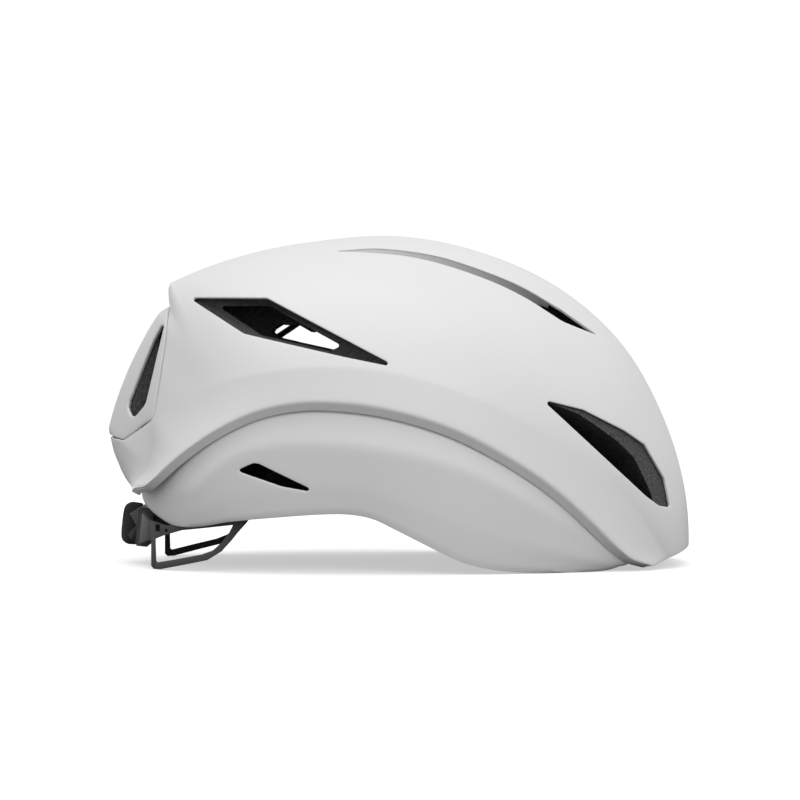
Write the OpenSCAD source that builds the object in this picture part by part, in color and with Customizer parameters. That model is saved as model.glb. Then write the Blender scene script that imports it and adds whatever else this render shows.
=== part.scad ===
// Road bike helmet: two moulded shells over a foam liner, with a dial-driven fit cradle.
// X runs from the tail to the brow, Y to the wearer's left, Z up. The origin is under the
// middle of the helmet, on the surface that it stands on. Millimetres.

/* [Shells] */
// Length from the brow to the tail
shell_length = 290; // [275:1:305]
// Height of the crest
shell_height = 163; // [155:1:172]
// Wall of the moulded shells
shell_wall = 1.6; // [1.2:0.1:2.2]
// Depth of the bevel under the upper shell's lower edge
bevel_depth = 4.5; // [3.5:0.1:5.5]
// Gap between the shells and what they cover
shell_gap = 0.4; // [0.3:0.05:0.6]
// How far the lower shell's lip turns in under the foam
lip_width = 2.5; // [2:0.25:3]
// Wall of the tail's bezel
bezel_wall = 3.2; // [2.5:0.1:4]
// Seam between the bezel and the upper shell
seam = 0.5; // [0.3:0.1:0.8]

/* [Foam and head cavity] */
// Length of the head cavity
cavity_length = 202; // [196:1:208]
// Width of the head cavity
cavity_width = 160; // [154:1:164]
// Height of the cavity's top
cavity_top = 134; // [128:1:138]
// Foam and shells beside the cavity at its widest
flank_wall = 24; // [20:1:28]

/* [Vents] */
// Radius of the vents' corners
vent_round = 1; // [0.6:0.1:1.6]
// Width of the slot beside the crest
slot_width = 3; // [2.4:0.1:4]
// Width of the strut across the rear side vent
strut_width = 3; // [2.5:0.5:5]
// Width of the spine between the exhaust ports
spine_width = 18; // [14:1:24]

/* [Pads] */
// Thickness of the comfort pads
pad_thickness = 6; // [4:0.5:8]
// Diameter of the hook discs under the pads
hook_diameter = 12; // [10:1:14]
// Thickness of the hook discs
hook_thickness = 1; // [0.8:0.1:1.4]

/* [Fit cradle] */
// Diameter of the dial knob
knob_diameter = 21.4; // [20:0.2:23]
// Depth of the dial knob
knob_depth = 9; // [8:0.5:10]
// Number of ribs round the knob
knob_ribs = 44; // [32:4:60]
// Diameter of the knob's shaft
shaft_diameter = 4.4; // [4:0.2:4.8]
// Teeth of the drive gear
gear_teeth = 10; // [10:1:12]
// Module of the drive gear and the racks
gear_module = 1; // [0.9:0.05:1.1]
// Width of the housing between its side slots
housing_width = 44; // [40:1:48]
// Wall of the housing
housing_wall = 1.6; // [1.4:0.1:2]
// Thickness of the arms
arm_thickness = 2.2; // [1.8:0.1:2.8]
// Width of the arms
arm_width = 5; // [4:0.2:6]
// Diameter of the posts at the temples
post_diameter = 5; // [4:0.2:6]
// Width of the height slider's stem
stem_width = 16; // [12:1:20]
// Running clearance on a radius or a face
run_gap = 0.08; // [0.05:0.01:0.1]
// Wider clearance of loose parts
loose_gap = 0.4; // [0.3:0.05:0.5]

/* [Hidden] */

// The outlines below are drawn for a helmet of this size and stretched to the set one
drawn_length = 290;
drawn_width = 208;
drawn_height = 163;
drawn_cavity_width = 160;
shell_width = cavity_width + 2 * flank_wall;
sx = shell_length / drawn_length;
sy = shell_width / drawn_width;
sz = shell_height / drawn_height;
cy = cavity_width / drawn_cavity_width;
// Reach of the cutting blocks, past every side of the helmet
past = 1.4 * max(shell_length, shell_width, shell_height);

// Line that the hoops of the upper shell turn about, under the helmet
hub_x = -5;
hub_z = -40;

// Crest, crease and arc edge of the upper shell in side view, from brow to tail
crest = [[145, 10], [143.5, 34], [131, 76], [111, 110], [81, 136.6], [41, 155], [1, 162.8],
    [-39, 160.6], [-69, 155.4], [-113.5, 139.6]];
tail = [[-113.5, 139.6], [-114.6, 137], [-113.8, 128], [-119, 125], [-126, 114], [-144.8, 67.6],
    [-142, 55], [-139, 45], [-135, 41]];
crease = [[131, 5], [121.5, 19.4], [106.2, 39.3], [81.6, 59.3], [55.2, 75.2], [29.2, 86.8], [1, 95.1],
    [-27.2, 98.1], [-50.7, 97.4], [-74.4, 93.1], [-96.3, 85.4], [-117, 72.7], [-119.5, 58], [-122, 48],
    [-129, 41]];
arc = [[126, 1], [112.2, 6.1], [96.2, 20.6], [74.3, 40.6], [50.4, 56.7], [26.8, 68.8], [1, 77.1],
    [-24.8, 81.3], [-45.9, 81.6], [-66.2, 77.6], [-85.4, 69], [-107.1, 53.9], [-121.4, 41.4], [-128, 39.6]];

// Edges of the lower shell: station along X, height
lower_top = [[-129.5, 42.5], [-117.6, 42.6], [-105.6, 51.4], [-90.8, 61.7], [-74.6, 70], [-58.7, 75.2],
    [-35, 77.6], [-11.6, 76.1], [4.2, 72.9], [19.8, 68.3], [35.6, 62], [51.4, 53.5], [67.3, 43.1],
    [83.4, 30.5], [94.9, 19.5], [103.2, 10.8], [110, 5]];
lower_crease = [[-129.5, 35], [-123, 34], [-116, 34.5], [-96.3, 40.8], [-86, 50], [-74.5, 57.6], [-58.6, 61.6],
    [-47.5, 62.8], [-19.3, 60.9], [11.9, 55.5], [40.2, 45.9], [76.8, 25.7], [96.4, 11.9], [110, 3.5]];
lower_rim = [[-129.5, 31.5], [-126, 28.8], [-123, 27], [-120.6, 25.4], [-115, 22.5], [-110, 21],
    [-105, 20.6], [-96, 21.6], [-83, 24], [-51, 27], [-35, 28], [-22.6, 27.9],
    [-11.6, 25.7], [-0.6, 20.5], [12, 14.1], [24.7, 7.8], [32.6, 4.5], [43.7, 1.8], [59.6, 0],
    [75, -0.6], [92, -0.6], [105, 0.2], [110, 2]];

// Plan of the flanks: widest station, reach of each end and the squareness of each end
wide_x = -20;
front_reach = 165;
rear_reach = 125;
front_power = 2.3;
rear_power = 2.2;

// Vent outlines in side view
side_vent = [[-96.7, 130.4], [-63, 130.4], [-5.7, 100.2], [-25.4, 104.2], [-72.8, 115], [-92.6, 127.6]];
side_vent_funnel = [[-84, 126.5], [-62, 126.5], [-26, 107], [-29, 104.5], [-66, 113]];
side_vent_inner = [[-66, 112], [-58, 117.4], [-48.8, 117.4], [-28, 106], [-30, 104.5]];
front_vent = [[72, 81], [88.1, 77], [108.8, 66.7], [118.8, 60], [128.8, 43.4], [131.3, 31], [126.9, 31.8],
    [120.3, 36.6], [92.3, 65.8], [76, 77.6]];
lower_vent = [[-74, 49.4], [-68.2, 51.9], [-66, 51.6], [-43, 40.6], [-54.6, 42.7], [-73, 48.9]];
port = [[-116.4, 117.4], [-124.5, 81], [-125.3, 79.4], [-129.9, 74.9], [-131.1, 75.2], [-132.8, 78.4],
    [-132.3, 80.6], [-119.9, 111.2]];
port_throat = [[-117, 116], [-124, 82], [-130, 84], [-124, 108]];
port_inner = [[-84, 106], [-84, 80], [-90, 80], [-90, 106]];
// Side slot beside the crest: middle line and width factor
slot_path = [[-29, 154.6, 0.2], [-12.4, 154.7, 0.9], [4.5, 153.2, 1], [22.3, 149.5, 1.3], [45.6, 141.5, 1.4],
    [61.9, 134, 1.7], [80, 123, 2], [97, 113.8, 0.2]];
// Bezel in side view, as let into the tail
bezel_face = [[-112.9, 128.6], [-113.4, 109.6], [-115.8, 92.1], [-118.2, 75.3], [-119.8, 72.4],
    [-135.6, 61.6], [-160, 66], [-160, 128.6]];

hoop_count = 36;
dome_steps = 7;
belt_count = 24;

function at(p) = [p[0] * sx, p[1] * sz];
function polar(p) = let (q = at(p)) [atan2(q[1] - hub_z, q[0] - hub_x),
    norm([q[0] - hub_x, q[1] - hub_z])];
function polars(list) = [for (p = list) polar(p)];
function stations(list) = [for (p = list) at(p)];

// Smooth curve through knots of rising first value
function knot(k, x, i = 0) = i >= len(k) - 2 || x <= k[i + 1][0] ? i : knot(k, x, i + 1);
function slope(k, i) = let (a = max(i - 1, 0), b = min(i + 1, len(k) - 1))
    (k[b][1] - k[a][1]) / (k[b][0] - k[a][0]);
function curve(k, x) = let (
    i = knot(k, x),
    h = k[i + 1][0] - k[i][0],
    t = max(0, min(1, (x - k[i][0]) / h)),
    u = 1 - t)
    k[i][1] * u * u * (1 + 2 * t) + k[i + 1][1] * t * t * (3 - 2 * t)
    + slope(k, i) * h * t * u * u - slope(k, i + 1) * h * t * t * u;
function mix(a, b, t) = a + (b - a) * t;
function ease(t) = let (c = max(0, min(1, t))) c * c * (3 - 2 * c);

crest_polar = polars(crest);
tail_polar = polars(tail);
crease_polar = polars(crease);
arc_polar = polars(arc);
lower_top_line = stations(lower_top);
lower_crease_line = stations(lower_crease);
lower_rim_line = stations(lower_rim);

first_angle = max(crest_polar[0][0], 18.4);
corner_angle = tail_polar[0][0];
last_angle = 147.4;

// Half width of the flanks at a station along X
function flank(x, w = shell_width / 2) = let (
    d = x / sx - wide_x,
    reach = d > 0 ? front_reach : rear_reach,
    power = d > 0 ? front_power : rear_power)
    w * pow(max(0.001, 1 - pow(min(1, abs(d) / reach), power)), 1 / power);

// How much narrower the crease is than the arc edge below it
crease_narrowing = [[-135, 0.6], [-118, 0.7], [-100, 0.84], [-80, 0.93], [-50, 0.97], [130, 0.97]];
// How pointed the dome's section is above the crease: 0 is an ellipse, 1 a parabola, 2 near a roof
dome_slant = [[18, 0.35], [40, 0.5], [90, 0.55], [112, 0.66], [124, 1.15], [130, 1.42], [148, 1.5]];

// One hoop: the points of the upper shell from the right bevel over the crest to the left
function hub_point(a, r, y) = [hub_x + r * cos(a), y, hub_z + r * sin(a)];
function crest_radius(a) = a <= corner_angle ? curve(crest_polar, a) : lookup(a, tail_polar);
function right_half(a) = let (
    top_r = crest_radius(a),
    crease_r = min(curve(crease_polar, a), top_r - 4),
    arc_r = min(curve(arc_polar, a), crease_r - 2),
    crease_x = hub_x + crease_r * cos(a),
    arc_x = hub_x + arc_r * cos(a),
    crease_y = flank(crease_x) * lookup(crease_x / sx, crease_narrowing),
    arc_y = flank(arc_x),
    k = lookup(a, dome_slant))
    concat(
        [hub_point(a, arc_r - bevel_depth * 0.9, -(arc_y - bevel_depth))],
        [hub_point(a, arc_r, -arc_y)],
        [for (j = [0:dome_steps - 1]) let (
            t = 90 * j / dome_steps,
            s = sin(t),
            u = 2 * s * s / (k + sqrt(k * k + 4 * (1 - k) * s * s)))
            hub_point(a, mix(crease_r, top_r, u), -crease_y * cos(t))]);
function hoop(a) = let (half = right_half(a), n = len(half))
    concat(half, [hub_point(a, crest_radius(a), 0)],
        [for (j = [n - 1:-1:0]) [half[j][0], -half[j][1], half[j][2]]]);

// Angles of the hoops, closer together round the tail's corner
function hoop_angles(count) = [for (i = [0:count]) let (t = i / count)
    mix(first_angle, last_angle, t)];
function tail_angles(count) = [for (i = [0:count]) mix(corner_angle + 1, last_angle, i / count)];

// Grid moved along its own normals, inwards for a positive distance
function cell(g, i, j) = g[max(0, min(len(g) - 1, i))][max(0, min(len(g[0]) - 1, j))];
function unit(v) = v / max(norm(v), 0.000001);
function grid_normal(g, i, j) = unit(cross(cell(g, i + 1, j) - cell(g, i - 1, j),
    cell(g, i, j + 1) - cell(g, i, j - 1)));
function moved_in(g, d) = [for (i = [0:len(g) - 1]) [for (j = [0:len(g[0]) - 1])
    g[i][j] + grid_normal(g, i, j) * d]];

// Closed sheet between an outer and an inner grid
module sheet(outer, inner) {
    rows = len(outer);
    cols = len(outer[0]);
    size = rows * cols;
    points = [for (g = [outer, inner]) for (row = g) for (p = row) p];
    function id(i, j) = i * cols + j;
    skin = [for (i = [0:rows - 2]) for (j = [0:cols - 2])
        each [[id(i, j), id(i + 1, j + 1), id(i, j + 1)], [id(i, j), id(i + 1, j), id(i + 1, j + 1)]]];
    back = [for (f = skin) [f[0] + size, f[2] + size, f[1] + size]];
    function wall(a, b) = [[a, b, b + size], [a, b + size, a + size]];
    edges = concat(
        [for (j = [0:cols - 2]) each wall(id(0, j), id(0, j + 1))],
        [for (j = [0:cols - 2]) each wall(id(rows - 1, j + 1), id(rows - 1, j))],
        [for (i = [0:rows - 2]) each wall(id(i + 1, 0), id(i, 0))],
        [for (i = [0:rows - 2]) each wall(id(i, cols - 1), id(i + 1, cols - 1))]);
    polyhedron(points, concat(skin, back, edges), convexity = 8);
}

// Solid whose rows are cross sections, each a ring of points
module stack(rows) {
    n = len(rows[0]);
    last = (len(rows) - 1) * n;
    polyhedron([for (r = rows) for (p = r) p],
        concat([[for (j = [0:n - 1]) j]],
            [for (i = [0:len(rows) - 2]) for (j = [0:n - 1]) let (a = i * n, k = (j + 1) % n)
                each [[a + j, a + n + j, a + n + k], [a + j, a + n + k, a + k]]],
            [[for (j = [n - 1:-1:0]) last + j]]), convexity = 6);
}

shell_grid = [for (a = hoop_angles(hoop_count)) hoop(a)];

// Lower shell: one row per station, from the right front round the nape to the left front
lower_inset = bevel_depth + shell_wall + shell_gap;
lower_half = shell_width / 2 - lower_inset;
lower_front = 115;
lower_rear = 129.5;
function rearness(x) = ease((-x / sx - 84) / 42);
function lower_xy(t) = let (
    // t runs from 0 at the front end to 1 at the middle of the nape
    x = mix(lower_front, wide_x, sin(90 * min(1, t / 0.6))) * sx,
    front = [x, flank(x)] - lower_inset * unit([flank(x - 0.5) - flank(x + 0.5), 1]),
    turn = 90 * (t - 0.6) / 0.4,
    rear = [(wide_x - (lower_rear + wide_x) * pow(abs(sin(turn)), 2 / 2.4)) * sx,
        lower_half * pow(cos(turn), 2 / 2.4)])
    t < 0.6 ? front : rear;
function lower_row(t) = let (
    p = lower_xy(t),
    q = lower_xy(t - 0.01),
    r = lower_xy(min(t + 0.01, 1)),
    along = unit(r - q),
    out = t >= 1 ? [-1, 0] : [along[1], -along[0]],
    back = rearness(p[0]),
    bulge = lookup(p[0] / sx, [[55, -2.2], [90, 0]]),
    top = curve(lower_top_line, p[0]),
    mid = curve(lower_crease_line, p[0]),
    low = curve(lower_rim_line, p[0]),
    tuck = mix(5, 3.2, back),
    levels = [[2.6, top + 3.5], [0.4, top], [mix(bulge, 2, back), mid],
        [mix(1.5, 2.4, back), mix(mid, low, 0.6)], [tuck, low], [tuck + lip_width, low + 1]])
    [for (l = levels) [p[0] - out[0] * l[0], p[1] - out[1] * l[0], l[1]]];
lower_left = [for (i = [0:belt_count]) lower_row(i / belt_count)];
lower_grid = concat(lower_left,
    [for (i = [belt_count - 1:-1:0]) [for (p = lower_left[i]) [p[0], -p[1], p[2]]]]);

module both_sides() {
    children();
    mirror([0, 1, 0]) children();
}

// Prism of a convex side outline on the right side, between two depths from the middle plane
module side_prism(outline, near, far, radius) {
    hull() for (p = outline) translate([at(p)[0], -far, at(p)[1]])
        rotate([-90, 0, 0]) cylinder(r = radius, h = far - near, $fn = 12);
}

// Channel from an outline at one depth to another outline further in
module side_channel(outline, depth, inner, inner_depth, radius) {
    hull() {
        for (p = outline) translate([at(p)[0], -depth, at(p)[1]])
            rotate([-90, 0, 0]) cylinder(r = radius, h = 0.5, $fn = 8);
        for (p = inner) translate([at(p)[0], -inner_depth, at(p)[1]])
            rotate([-90, 0, 0]) cylinder(r = radius, h = 0.5, $fn = 8);
    }
}

module slot_cut(near, far, grow = 0) {
    for (i = [0:len(slot_path) - 2]) hull() for (p = [slot_path[i], slot_path[i + 1]])
        translate([at(p)[0], -far * sy, at(p)[1]])
            rotate([-90, 0, 0]) cylinder(r = slot_width / 2 * p[2] + grow, h = (far - near) * sy, $fn = 10);
}

module bezel_prism(grow) {
    translate([0, shell_width / 2, 0]) rotate([90, 0, 0]) linear_extrude(shell_width)
        offset(delta = grow) polygon([for (p = bezel_face) at(p)]);
}

// Everything below a height
module below(z) {
    translate([-past, -past, z - past]) cube([2 * past, 2 * past, past]);
}

// Depth from the middle plane that the lower side vent reaches in to
vent_floor = 40;

// Room for the dial housing under the nape
notch_half = housing_width / 2 + 2.5;
notch_top = 31.5;
notch_front = -98;
module nape_notch() {
    translate([notch_front * sx - past, -notch_half, -past]) cube([past, 2 * notch_half, past + notch_top]);
}

// Distances from the middle where the cuts of the side and front vents in the shell begin
vent_near = [10, 14];
module upper_shell() {
    color("white") difference() {
        sheet(shell_grid, moved_in(shell_grid, shell_wall));
        bezel_prism(seam / 2);
        both_sides() {
            side_prism(side_vent, vent_near[0], past, vent_round);
            side_prism(front_vent, vent_near[1], past, vent_round);
            slot_cut(slot_depths[0] - vent_near[0], slot_depths[1]);
        }
    }
}

module lower_shell() {
    color("white") difference() {
        sheet(lower_grid, moved_in(lower_grid, shell_wall));
        both_sides() side_prism(lower_vent, vent_floor, past, vent_round);
        below(0);
    }
}

tail_grid = [for (a = tail_angles(14)) hoop(a)];
module rear_bezel() {
    color("gainsboro") difference() {
        intersection() {
            sheet(tail_grid, moved_in(tail_grid, bezel_wall));
            bezel_prism(-seam / 2);
        }
        both_sides() {
            side_prism(port, spine_width / 2, past, vent_round);
        }
    }
}

// Head cavity: rings of a rounded outline at rising heights
cavity_x = 8;
// Height, half length factor, half width factor, shift along X
cavity_rings = [[-6, 1.09, 1.05, -1], [14, 1.08, 1.04, -1], [30, 1.05, 1.02, -1], [45, 1, 1, 0],
    [70, 0.95, 0.955, 0], [92, 0.83, 0.83, 0], [108, 0.68, 0.68, 0], [120, 0.5, 0.5, 0], [128, 0.32, 0.32, 0],
    [134, 0.04, 0.04, 0]];
drawn_top = 134;
function cavity_power(z) = z < 40 ? 2.5 : mix(2.5, 2, min(1, (z - 40) / 50));
function cavity_point(ring, turn, d) = let (
    a = cavity_length / 2 * ring[1] - d,
    b = cavity_width / 2 * ring[2] - d,
    p = 2 / cavity_power(ring[0]),
    c = cos(turn),
    s = sin(turn))
    [cavity_x + ring[3] + a * sign(c) * pow(abs(c), p), b * sign(s) * pow(abs(s), p),
        ring[0] <= 45 ? ring[0] : 45 + (ring[0] - 45) * (cavity_top - d - 45) / (drawn_top - 45)];
module head_cavity() {
    stack([for (r = cavity_rings) [for (j = [0:35]) cavity_point(r, 10 * j, 0)]]);
}

module foam_blank() {
    stack(moved_in(shell_grid, shell_wall + shell_gap));
    // The lower block is closed across from each right station to its left twin
    inner = moved_in(lower_grid, shell_wall + 2 * shell_gap);
    stack([for (i = [0:belt_count - 1]) concat(inner[i],
        [for (j = [len(inner[0]) - 1:-1:0]) inner[len(inner) - 1 - i][j]])]);
}

// Depths from the middle plane between which the air channels run, for the drawn width
side_depths = [28, 100];
front_depths = [26, 85];
front_sweep = [7, 1];
slot_depths = [24, 75];
port_depths = [30, 40];
// Duct under the slot beside the crest: its ends along X, its depth and its radius
duct_ends = [-8, 66];
duct_depth = 34.4;
duct_sweep = 0.05;
duct_radius = 6;
module foam_channels() {
    both_sides() {
        side_channel(side_vent, side_depths[1] * sy, side_vent_funnel, side_depths[0] * sy, vent_round);
        side_prism(side_vent_inner, -1, side_depths[0] * sy, vent_round);
        side_channel(front_vent, front_depths[1] * sy, [for (p = front_vent) p - front_sweep],
            front_depths[0] * sy, vent_round);
        side_prism(lower_vent, vent_floor, past, vent_round);
        slot_cut(slot_depths[0], slot_depths[1], 0.4);
        hull() for (x = duct_ends) translate([x * sx, -(duct_depth - x * duct_sweep) * sy, cavity_top * 0.7])
            cylinder(r = duct_radius * sy, h = past, $fn = 12);
        side_prism(port, spine_width / 2, past, vent_round);
        hull() {
            side_channel(port_throat, port_depths[1] * sy, port_inner, port_depths[0] * sy, vent_round);
            side_channel(port_throat, spine_width / 2 + 2, port_inner, spine_width / 2 + 4, vent_round);
        }
    }
}

// The bezel lies on foam that is let down to its wall
module bezel_bed() {
    intersection() {
        bezel_prism(seam);
        sheet(moved_in(tail_grid, -bezel_wall), moved_in(tail_grid, bezel_wall + shell_gap));
    }
}

// Height of the foam's underside over the standing surface
foam_base = 1;
strut_line = [[-70, 103.3], [-38, 126]];
strut_depths = [64, 76];
module foam_liner() {
    color("dimgray") difference() {
        foam_blank();
        head_cavity();
        difference() {
            foam_channels();
            both_sides() hull() for (p = strut_line)
                translate([at(p)[0], -strut_depths[1] * sy, at(p)[1]]) rotate([-90, 0, 0])
                    cylinder(d = strut_width, h = (strut_depths[1] - strut_depths[0]) * sy, $fn = 12);
        }
        sheet(moved_in(lower_grid, -shell_gap), moved_in(lower_grid, shell_wall + shell_gap));
        bezel_bed();
        nape_notch();
        track_pocket();
        post_sockets();
        anchor_pockets();
        below(foam_base);
    }
}

// Ring of the cavity at any height, and a point of its wall moved in by a distance
function ring_at(z) = [z, lookup(z, [for (r = cavity_rings) [r[0], r[1]]]),
    lookup(z, [for (r = cavity_rings) [r[0], r[2]]]), lookup(z, [for (r = cavity_rings) [r[0], r[3]]])];
function wall_point(z, turn, d) = cavity_point(ring_at(z), turn, d);

// Height of the cavity's ceiling over a plan position
ceiling = [[0, 134.3], [0.04, 134], [0.32, 128], [0.5, 120], [0.68, 108], [0.83, 92], [0.95, 70]];
function ceiling_z(x, y) = let (
    f = norm([(x - cavity_x) / (cavity_length / 2), y / (cavity_width / 2)]),
    z = lookup(f, ceiling))
    45 + (z - 45) * (cavity_top - 45) / (drawn_top - 45);

// Comfort pads: crowned in the middle, drawn in at the edges
pad_edge = 1.2;
hook_gap = 1.25;
pad_stand = hook_gap + hook_thickness + 0.3;
function pad_swell(u, v) = pad_edge + (pad_thickness - pad_edge)
    * pow(max(0, 1 - pow(abs(2 * u - 1), 6)), 0.6) * pow(max(0, 1 - pow(abs(2 * v - 1), 4)), 0.6);
module wall_pad(turn_a, turn_b, low, high, steps, draw_in = 0.12) {
    function spot(u, v, d) = let (
        narrow = 1 - draw_in * pow(abs(2 * u - 1), 3),
        z = mix(low, high, 0.5 + (v - 0.5) * narrow))
        wall_point(z, mix(turn_a, turn_b, u), d);
    sheet([for (i = [0:steps]) [for (j = [0:6]) spot(i / steps, j / 6, pad_stand)]],
        [for (i = [0:steps]) [for (j = [0:6])
            spot(i / steps, j / 6, pad_stand + pad_swell(i / steps, j / 6))]]);
}
crown_front = 56;
crown_rear = -40;
crown_half = 12;
module crown_pad() {
    steps = 14;
    function spot(u, v, d) = let (
        x = mix(crown_front, crown_rear, u) * sx,
        y = (2 * v - 1) * crown_half * (1 - 0.12 * pow(abs(2 * u - 1), 3)))
        [x, y, ceiling_z(x, y) - d - 0.2];
    color("black") sheet([for (i = [0:steps]) [for (j = [0:6]) spot(i / steps, j / 6, pad_stand)]],
        [for (i = [0:steps]) [for (j = [0:6])
            spot(i / steps, j / 6, pad_stand + pad_swell(i / steps, j / 6))]]);
}
brow_turn = 46;
brow_low = 17;
brow_high = 40;
side_turns = [72, 118];
side_low = 58;
side_high = 82;
nape_turns = [126, 158];
nape_low = 46;
nape_high = 70;
module brow_pad() {
    color("black") wall_pad(brow_turn, -brow_turn, brow_low, brow_high, 20);
}
module side_pad_right() {
    color("black") wall_pad(-side_turns[0], -side_turns[1], side_low, side_high, 12);
}
module side_pad_left() {
    color("black") wall_pad(side_turns[1], side_turns[0], side_low, side_high, 12);
}
module nape_pad_right() {
    color("black") wall_pad(-nape_turns[0], -nape_turns[1], nape_low, nape_high, 10);
}
module nape_pad_left() {
    color("black") wall_pad(nape_turns[1], nape_turns[0], nape_low, nape_high, 10);
}

// Hook discs between the foam and the pads, laid on the wall
module wall_disc(z, turn) {
    p = wall_point(z, turn, hook_gap);
    a = wall_point(z, turn - 2, hook_gap);
    b = wall_point(z, turn + 2, hook_gap);
    c = wall_point(z - 2, turn, hook_gap);
    e = wall_point(z + 2, turn, hook_gap);
    n = unit(cross(b - a, e - c));
    tip = acos(n[2]);
    translate(p) rotate([0, 0, atan2(n[1], n[0])]) rotate([0, tip + 180, 0])
        cylinder(d = hook_diameter, h = hook_thickness, $fn = 32);
}
module pad_hooks() {
    mid_brow = (brow_low + brow_high) / 2;
    mid_side = (side_low + side_high) / 2;
    mid_nape = (nape_low + nape_high) / 2;
    color("black") {
        for (turn = [-28, 28]) wall_disc(mid_brow, turn);
        for (side = [-1, 1]) {
            for (turn = [84, 106]) wall_disc(mid_side, side * turn);
            wall_disc(mid_nape, side * (nape_turns[0] + nape_turns[1]) / 2);
        }
        for (x = [-18, 34]) translate([x * sx, 0, ceiling_z(x * sx, 0) - hook_gap - hook_thickness - 0.1])
            rotate([0, atan2(ceiling_z(x * sx - 3, 0) - ceiling_z(x * sx + 3, 0), 6), 0])
                cylinder(d = hook_diameter, h = hook_thickness, $fn = 32);
    }
}

// Posts at the temples, which the cradle's arms turn on
post_x = 40 * sx;
post_z = 40 * sz;
wing_travel = 6.5;
flange_thickness = 1.6;
flange_diameter = 14;
post_root = 8;
post_inset = 2.8;
post_face = cavity_width / 2 - post_inset;
eye_outer = post_face - loose_gap;
post_tip = eye_outer - arm_thickness - wing_travel - 0.6;
module temple_post() {
    translate([post_x, 0, post_z]) rotate([90, 0, 0]) {
        translate([0, 0, post_tip]) cylinder(d = post_diameter, h = post_face - post_tip + post_root, $fn = 48);
        translate([0, 0, post_face]) cylinder(d = flange_diameter, h = flange_thickness, $fn = 48);
    }
}
module temple_post_right() {
    color("dimgray") temple_post();
}
module temple_post_left() {
    color("dimgray") mirror([0, 1, 0]) temple_post();
}
module post_sockets() {
    both_sides() translate([post_x, 0, post_z]) rotate([90, 0, 0]) {
        translate([0, 0, post_face]) cylinder(d = post_diameter + 2 * run_gap, h = post_root + 1, $fn = 24);
        translate([0, 0, post_face - 6])
            cylinder(d = flange_diameter + loose_gap, h = 6 + flange_thickness + 0.1, $fn = 24);
    }
}

// Anchors for chin-strap webbing, let into the foam's inner wall
anchor_length = 26;
anchor_height = 12;
anchor_thickness = 2.4;
strap_slot_length = 19;
strap_slot_width = 3;
anchor_front_at = [63, 75.4, 22, 18.5];
anchor_rear_at = [-27, 78.6, 46, -10];
module anchor_place(a) {
    translate([a[0] * sx, -a[1] * cy, a[2] * sz]) rotate([0, 0, a[3]]) children();
}
module strap_anchor(a) {
    anchor_place(a) difference() {
        translate([-anchor_length / 2, -anchor_thickness, -anchor_height / 2])
            cube([anchor_length, anchor_thickness, anchor_height]);
        translate([-strap_slot_length / 2, -anchor_thickness - 1, -strap_slot_width / 2])
            cube([strap_slot_length, anchor_thickness + 2, strap_slot_width]);
    }
}
module strap_anchor_front() {
    color("dimgray") both_sides() strap_anchor(anchor_front_at);
}
module strap_anchor_rear() {
    color("dimgray") both_sides() strap_anchor(anchor_rear_at);
}
module anchor_pockets() {
    both_sides() for (a = [anchor_front_at, anchor_rear_at]) anchor_place(a)
        translate([-anchor_length / 2 - 0.3, -anchor_thickness - 0.3, -anchor_height / 2 - 0.3])
            cube([anchor_length + 0.6, anchor_thickness + 9, anchor_height + 0.6]);
}

// Dial: its own frame has X along the shaft towards the head, tipped with the knob
dial_x = -128.6 * sx;
dial_z = 19.1;
dial_tilt = 6;
module dial_frame() {
    translate([dial_x, 0, dial_z]) rotate([0, dial_tilt, 0]) children();
}
// Turns a shape drawn along Z so that it runs along the dial's X
module along_x(x) {
    translate([x, 0, 0]) rotate([90, 0, 90]) children();
}
pitch_radius = gear_module * gear_teeth / 2;
tooth_pitch = PI * gear_module;
back_face = 0.4;
gear_near = back_face + housing_wall + 0.3;
gear_thickness = 3;
cover_face = gear_near + gear_thickness + 0.4;
rack_height = 2;
rack_depth = pitch_radius + 1.25 * gear_module + rack_height;
housing_half_height = rack_depth + 0.3 + 1.1;

// Involute tooth outline, from root to tip and back
pressure = 20;
base_radius = pitch_radius * cos(pressure);
tip_radius = pitch_radius + 0.95 * gear_module;
root_radius = pitch_radius - 1.25 * gear_module;
gear_backlash = 0.12;
function involute_turn(r) = let (a = acos(min(1, base_radius / r))) tan(a) * 180 / PI - a;
half_tooth = (tooth_pitch / 2 - gear_backlash) / 2 / pitch_radius * 180 / PI + involute_turn(pitch_radius);
function flank_at(r, side) = let (a = side * (half_tooth - involute_turn(max(r, base_radius))))
    [r * cos(a), r * sin(a)];
flank_radii = [root_radius, base_radius, mix(base_radius, tip_radius, 0.35), mix(base_radius, tip_radius, 0.7),
    tip_radius];
module gear_outline() {
    circle(r = root_radius + 0.02, $fn = 60);
    for (i = [0:gear_teeth - 1]) rotate(i * 360 / gear_teeth + 90)
        polygon(concat([[root_radius * 0.7, -root_radius * 0.25]],
            [for (r = flank_radii) flank_at(r, -1)],
            [for (i = [len(flank_radii) - 1:-1:0]) flank_at(flank_radii[i], 1)],
            [[root_radius * 0.7, root_radius * 0.25]]));
}
module drive_gear() {
    color("gray") dial_frame() along_x(gear_near) linear_extrude(gear_thickness) difference() {
        gear_outline();
        circle(d = shaft_diameter + 0.04, $fn = 48);
    }
}

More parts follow.
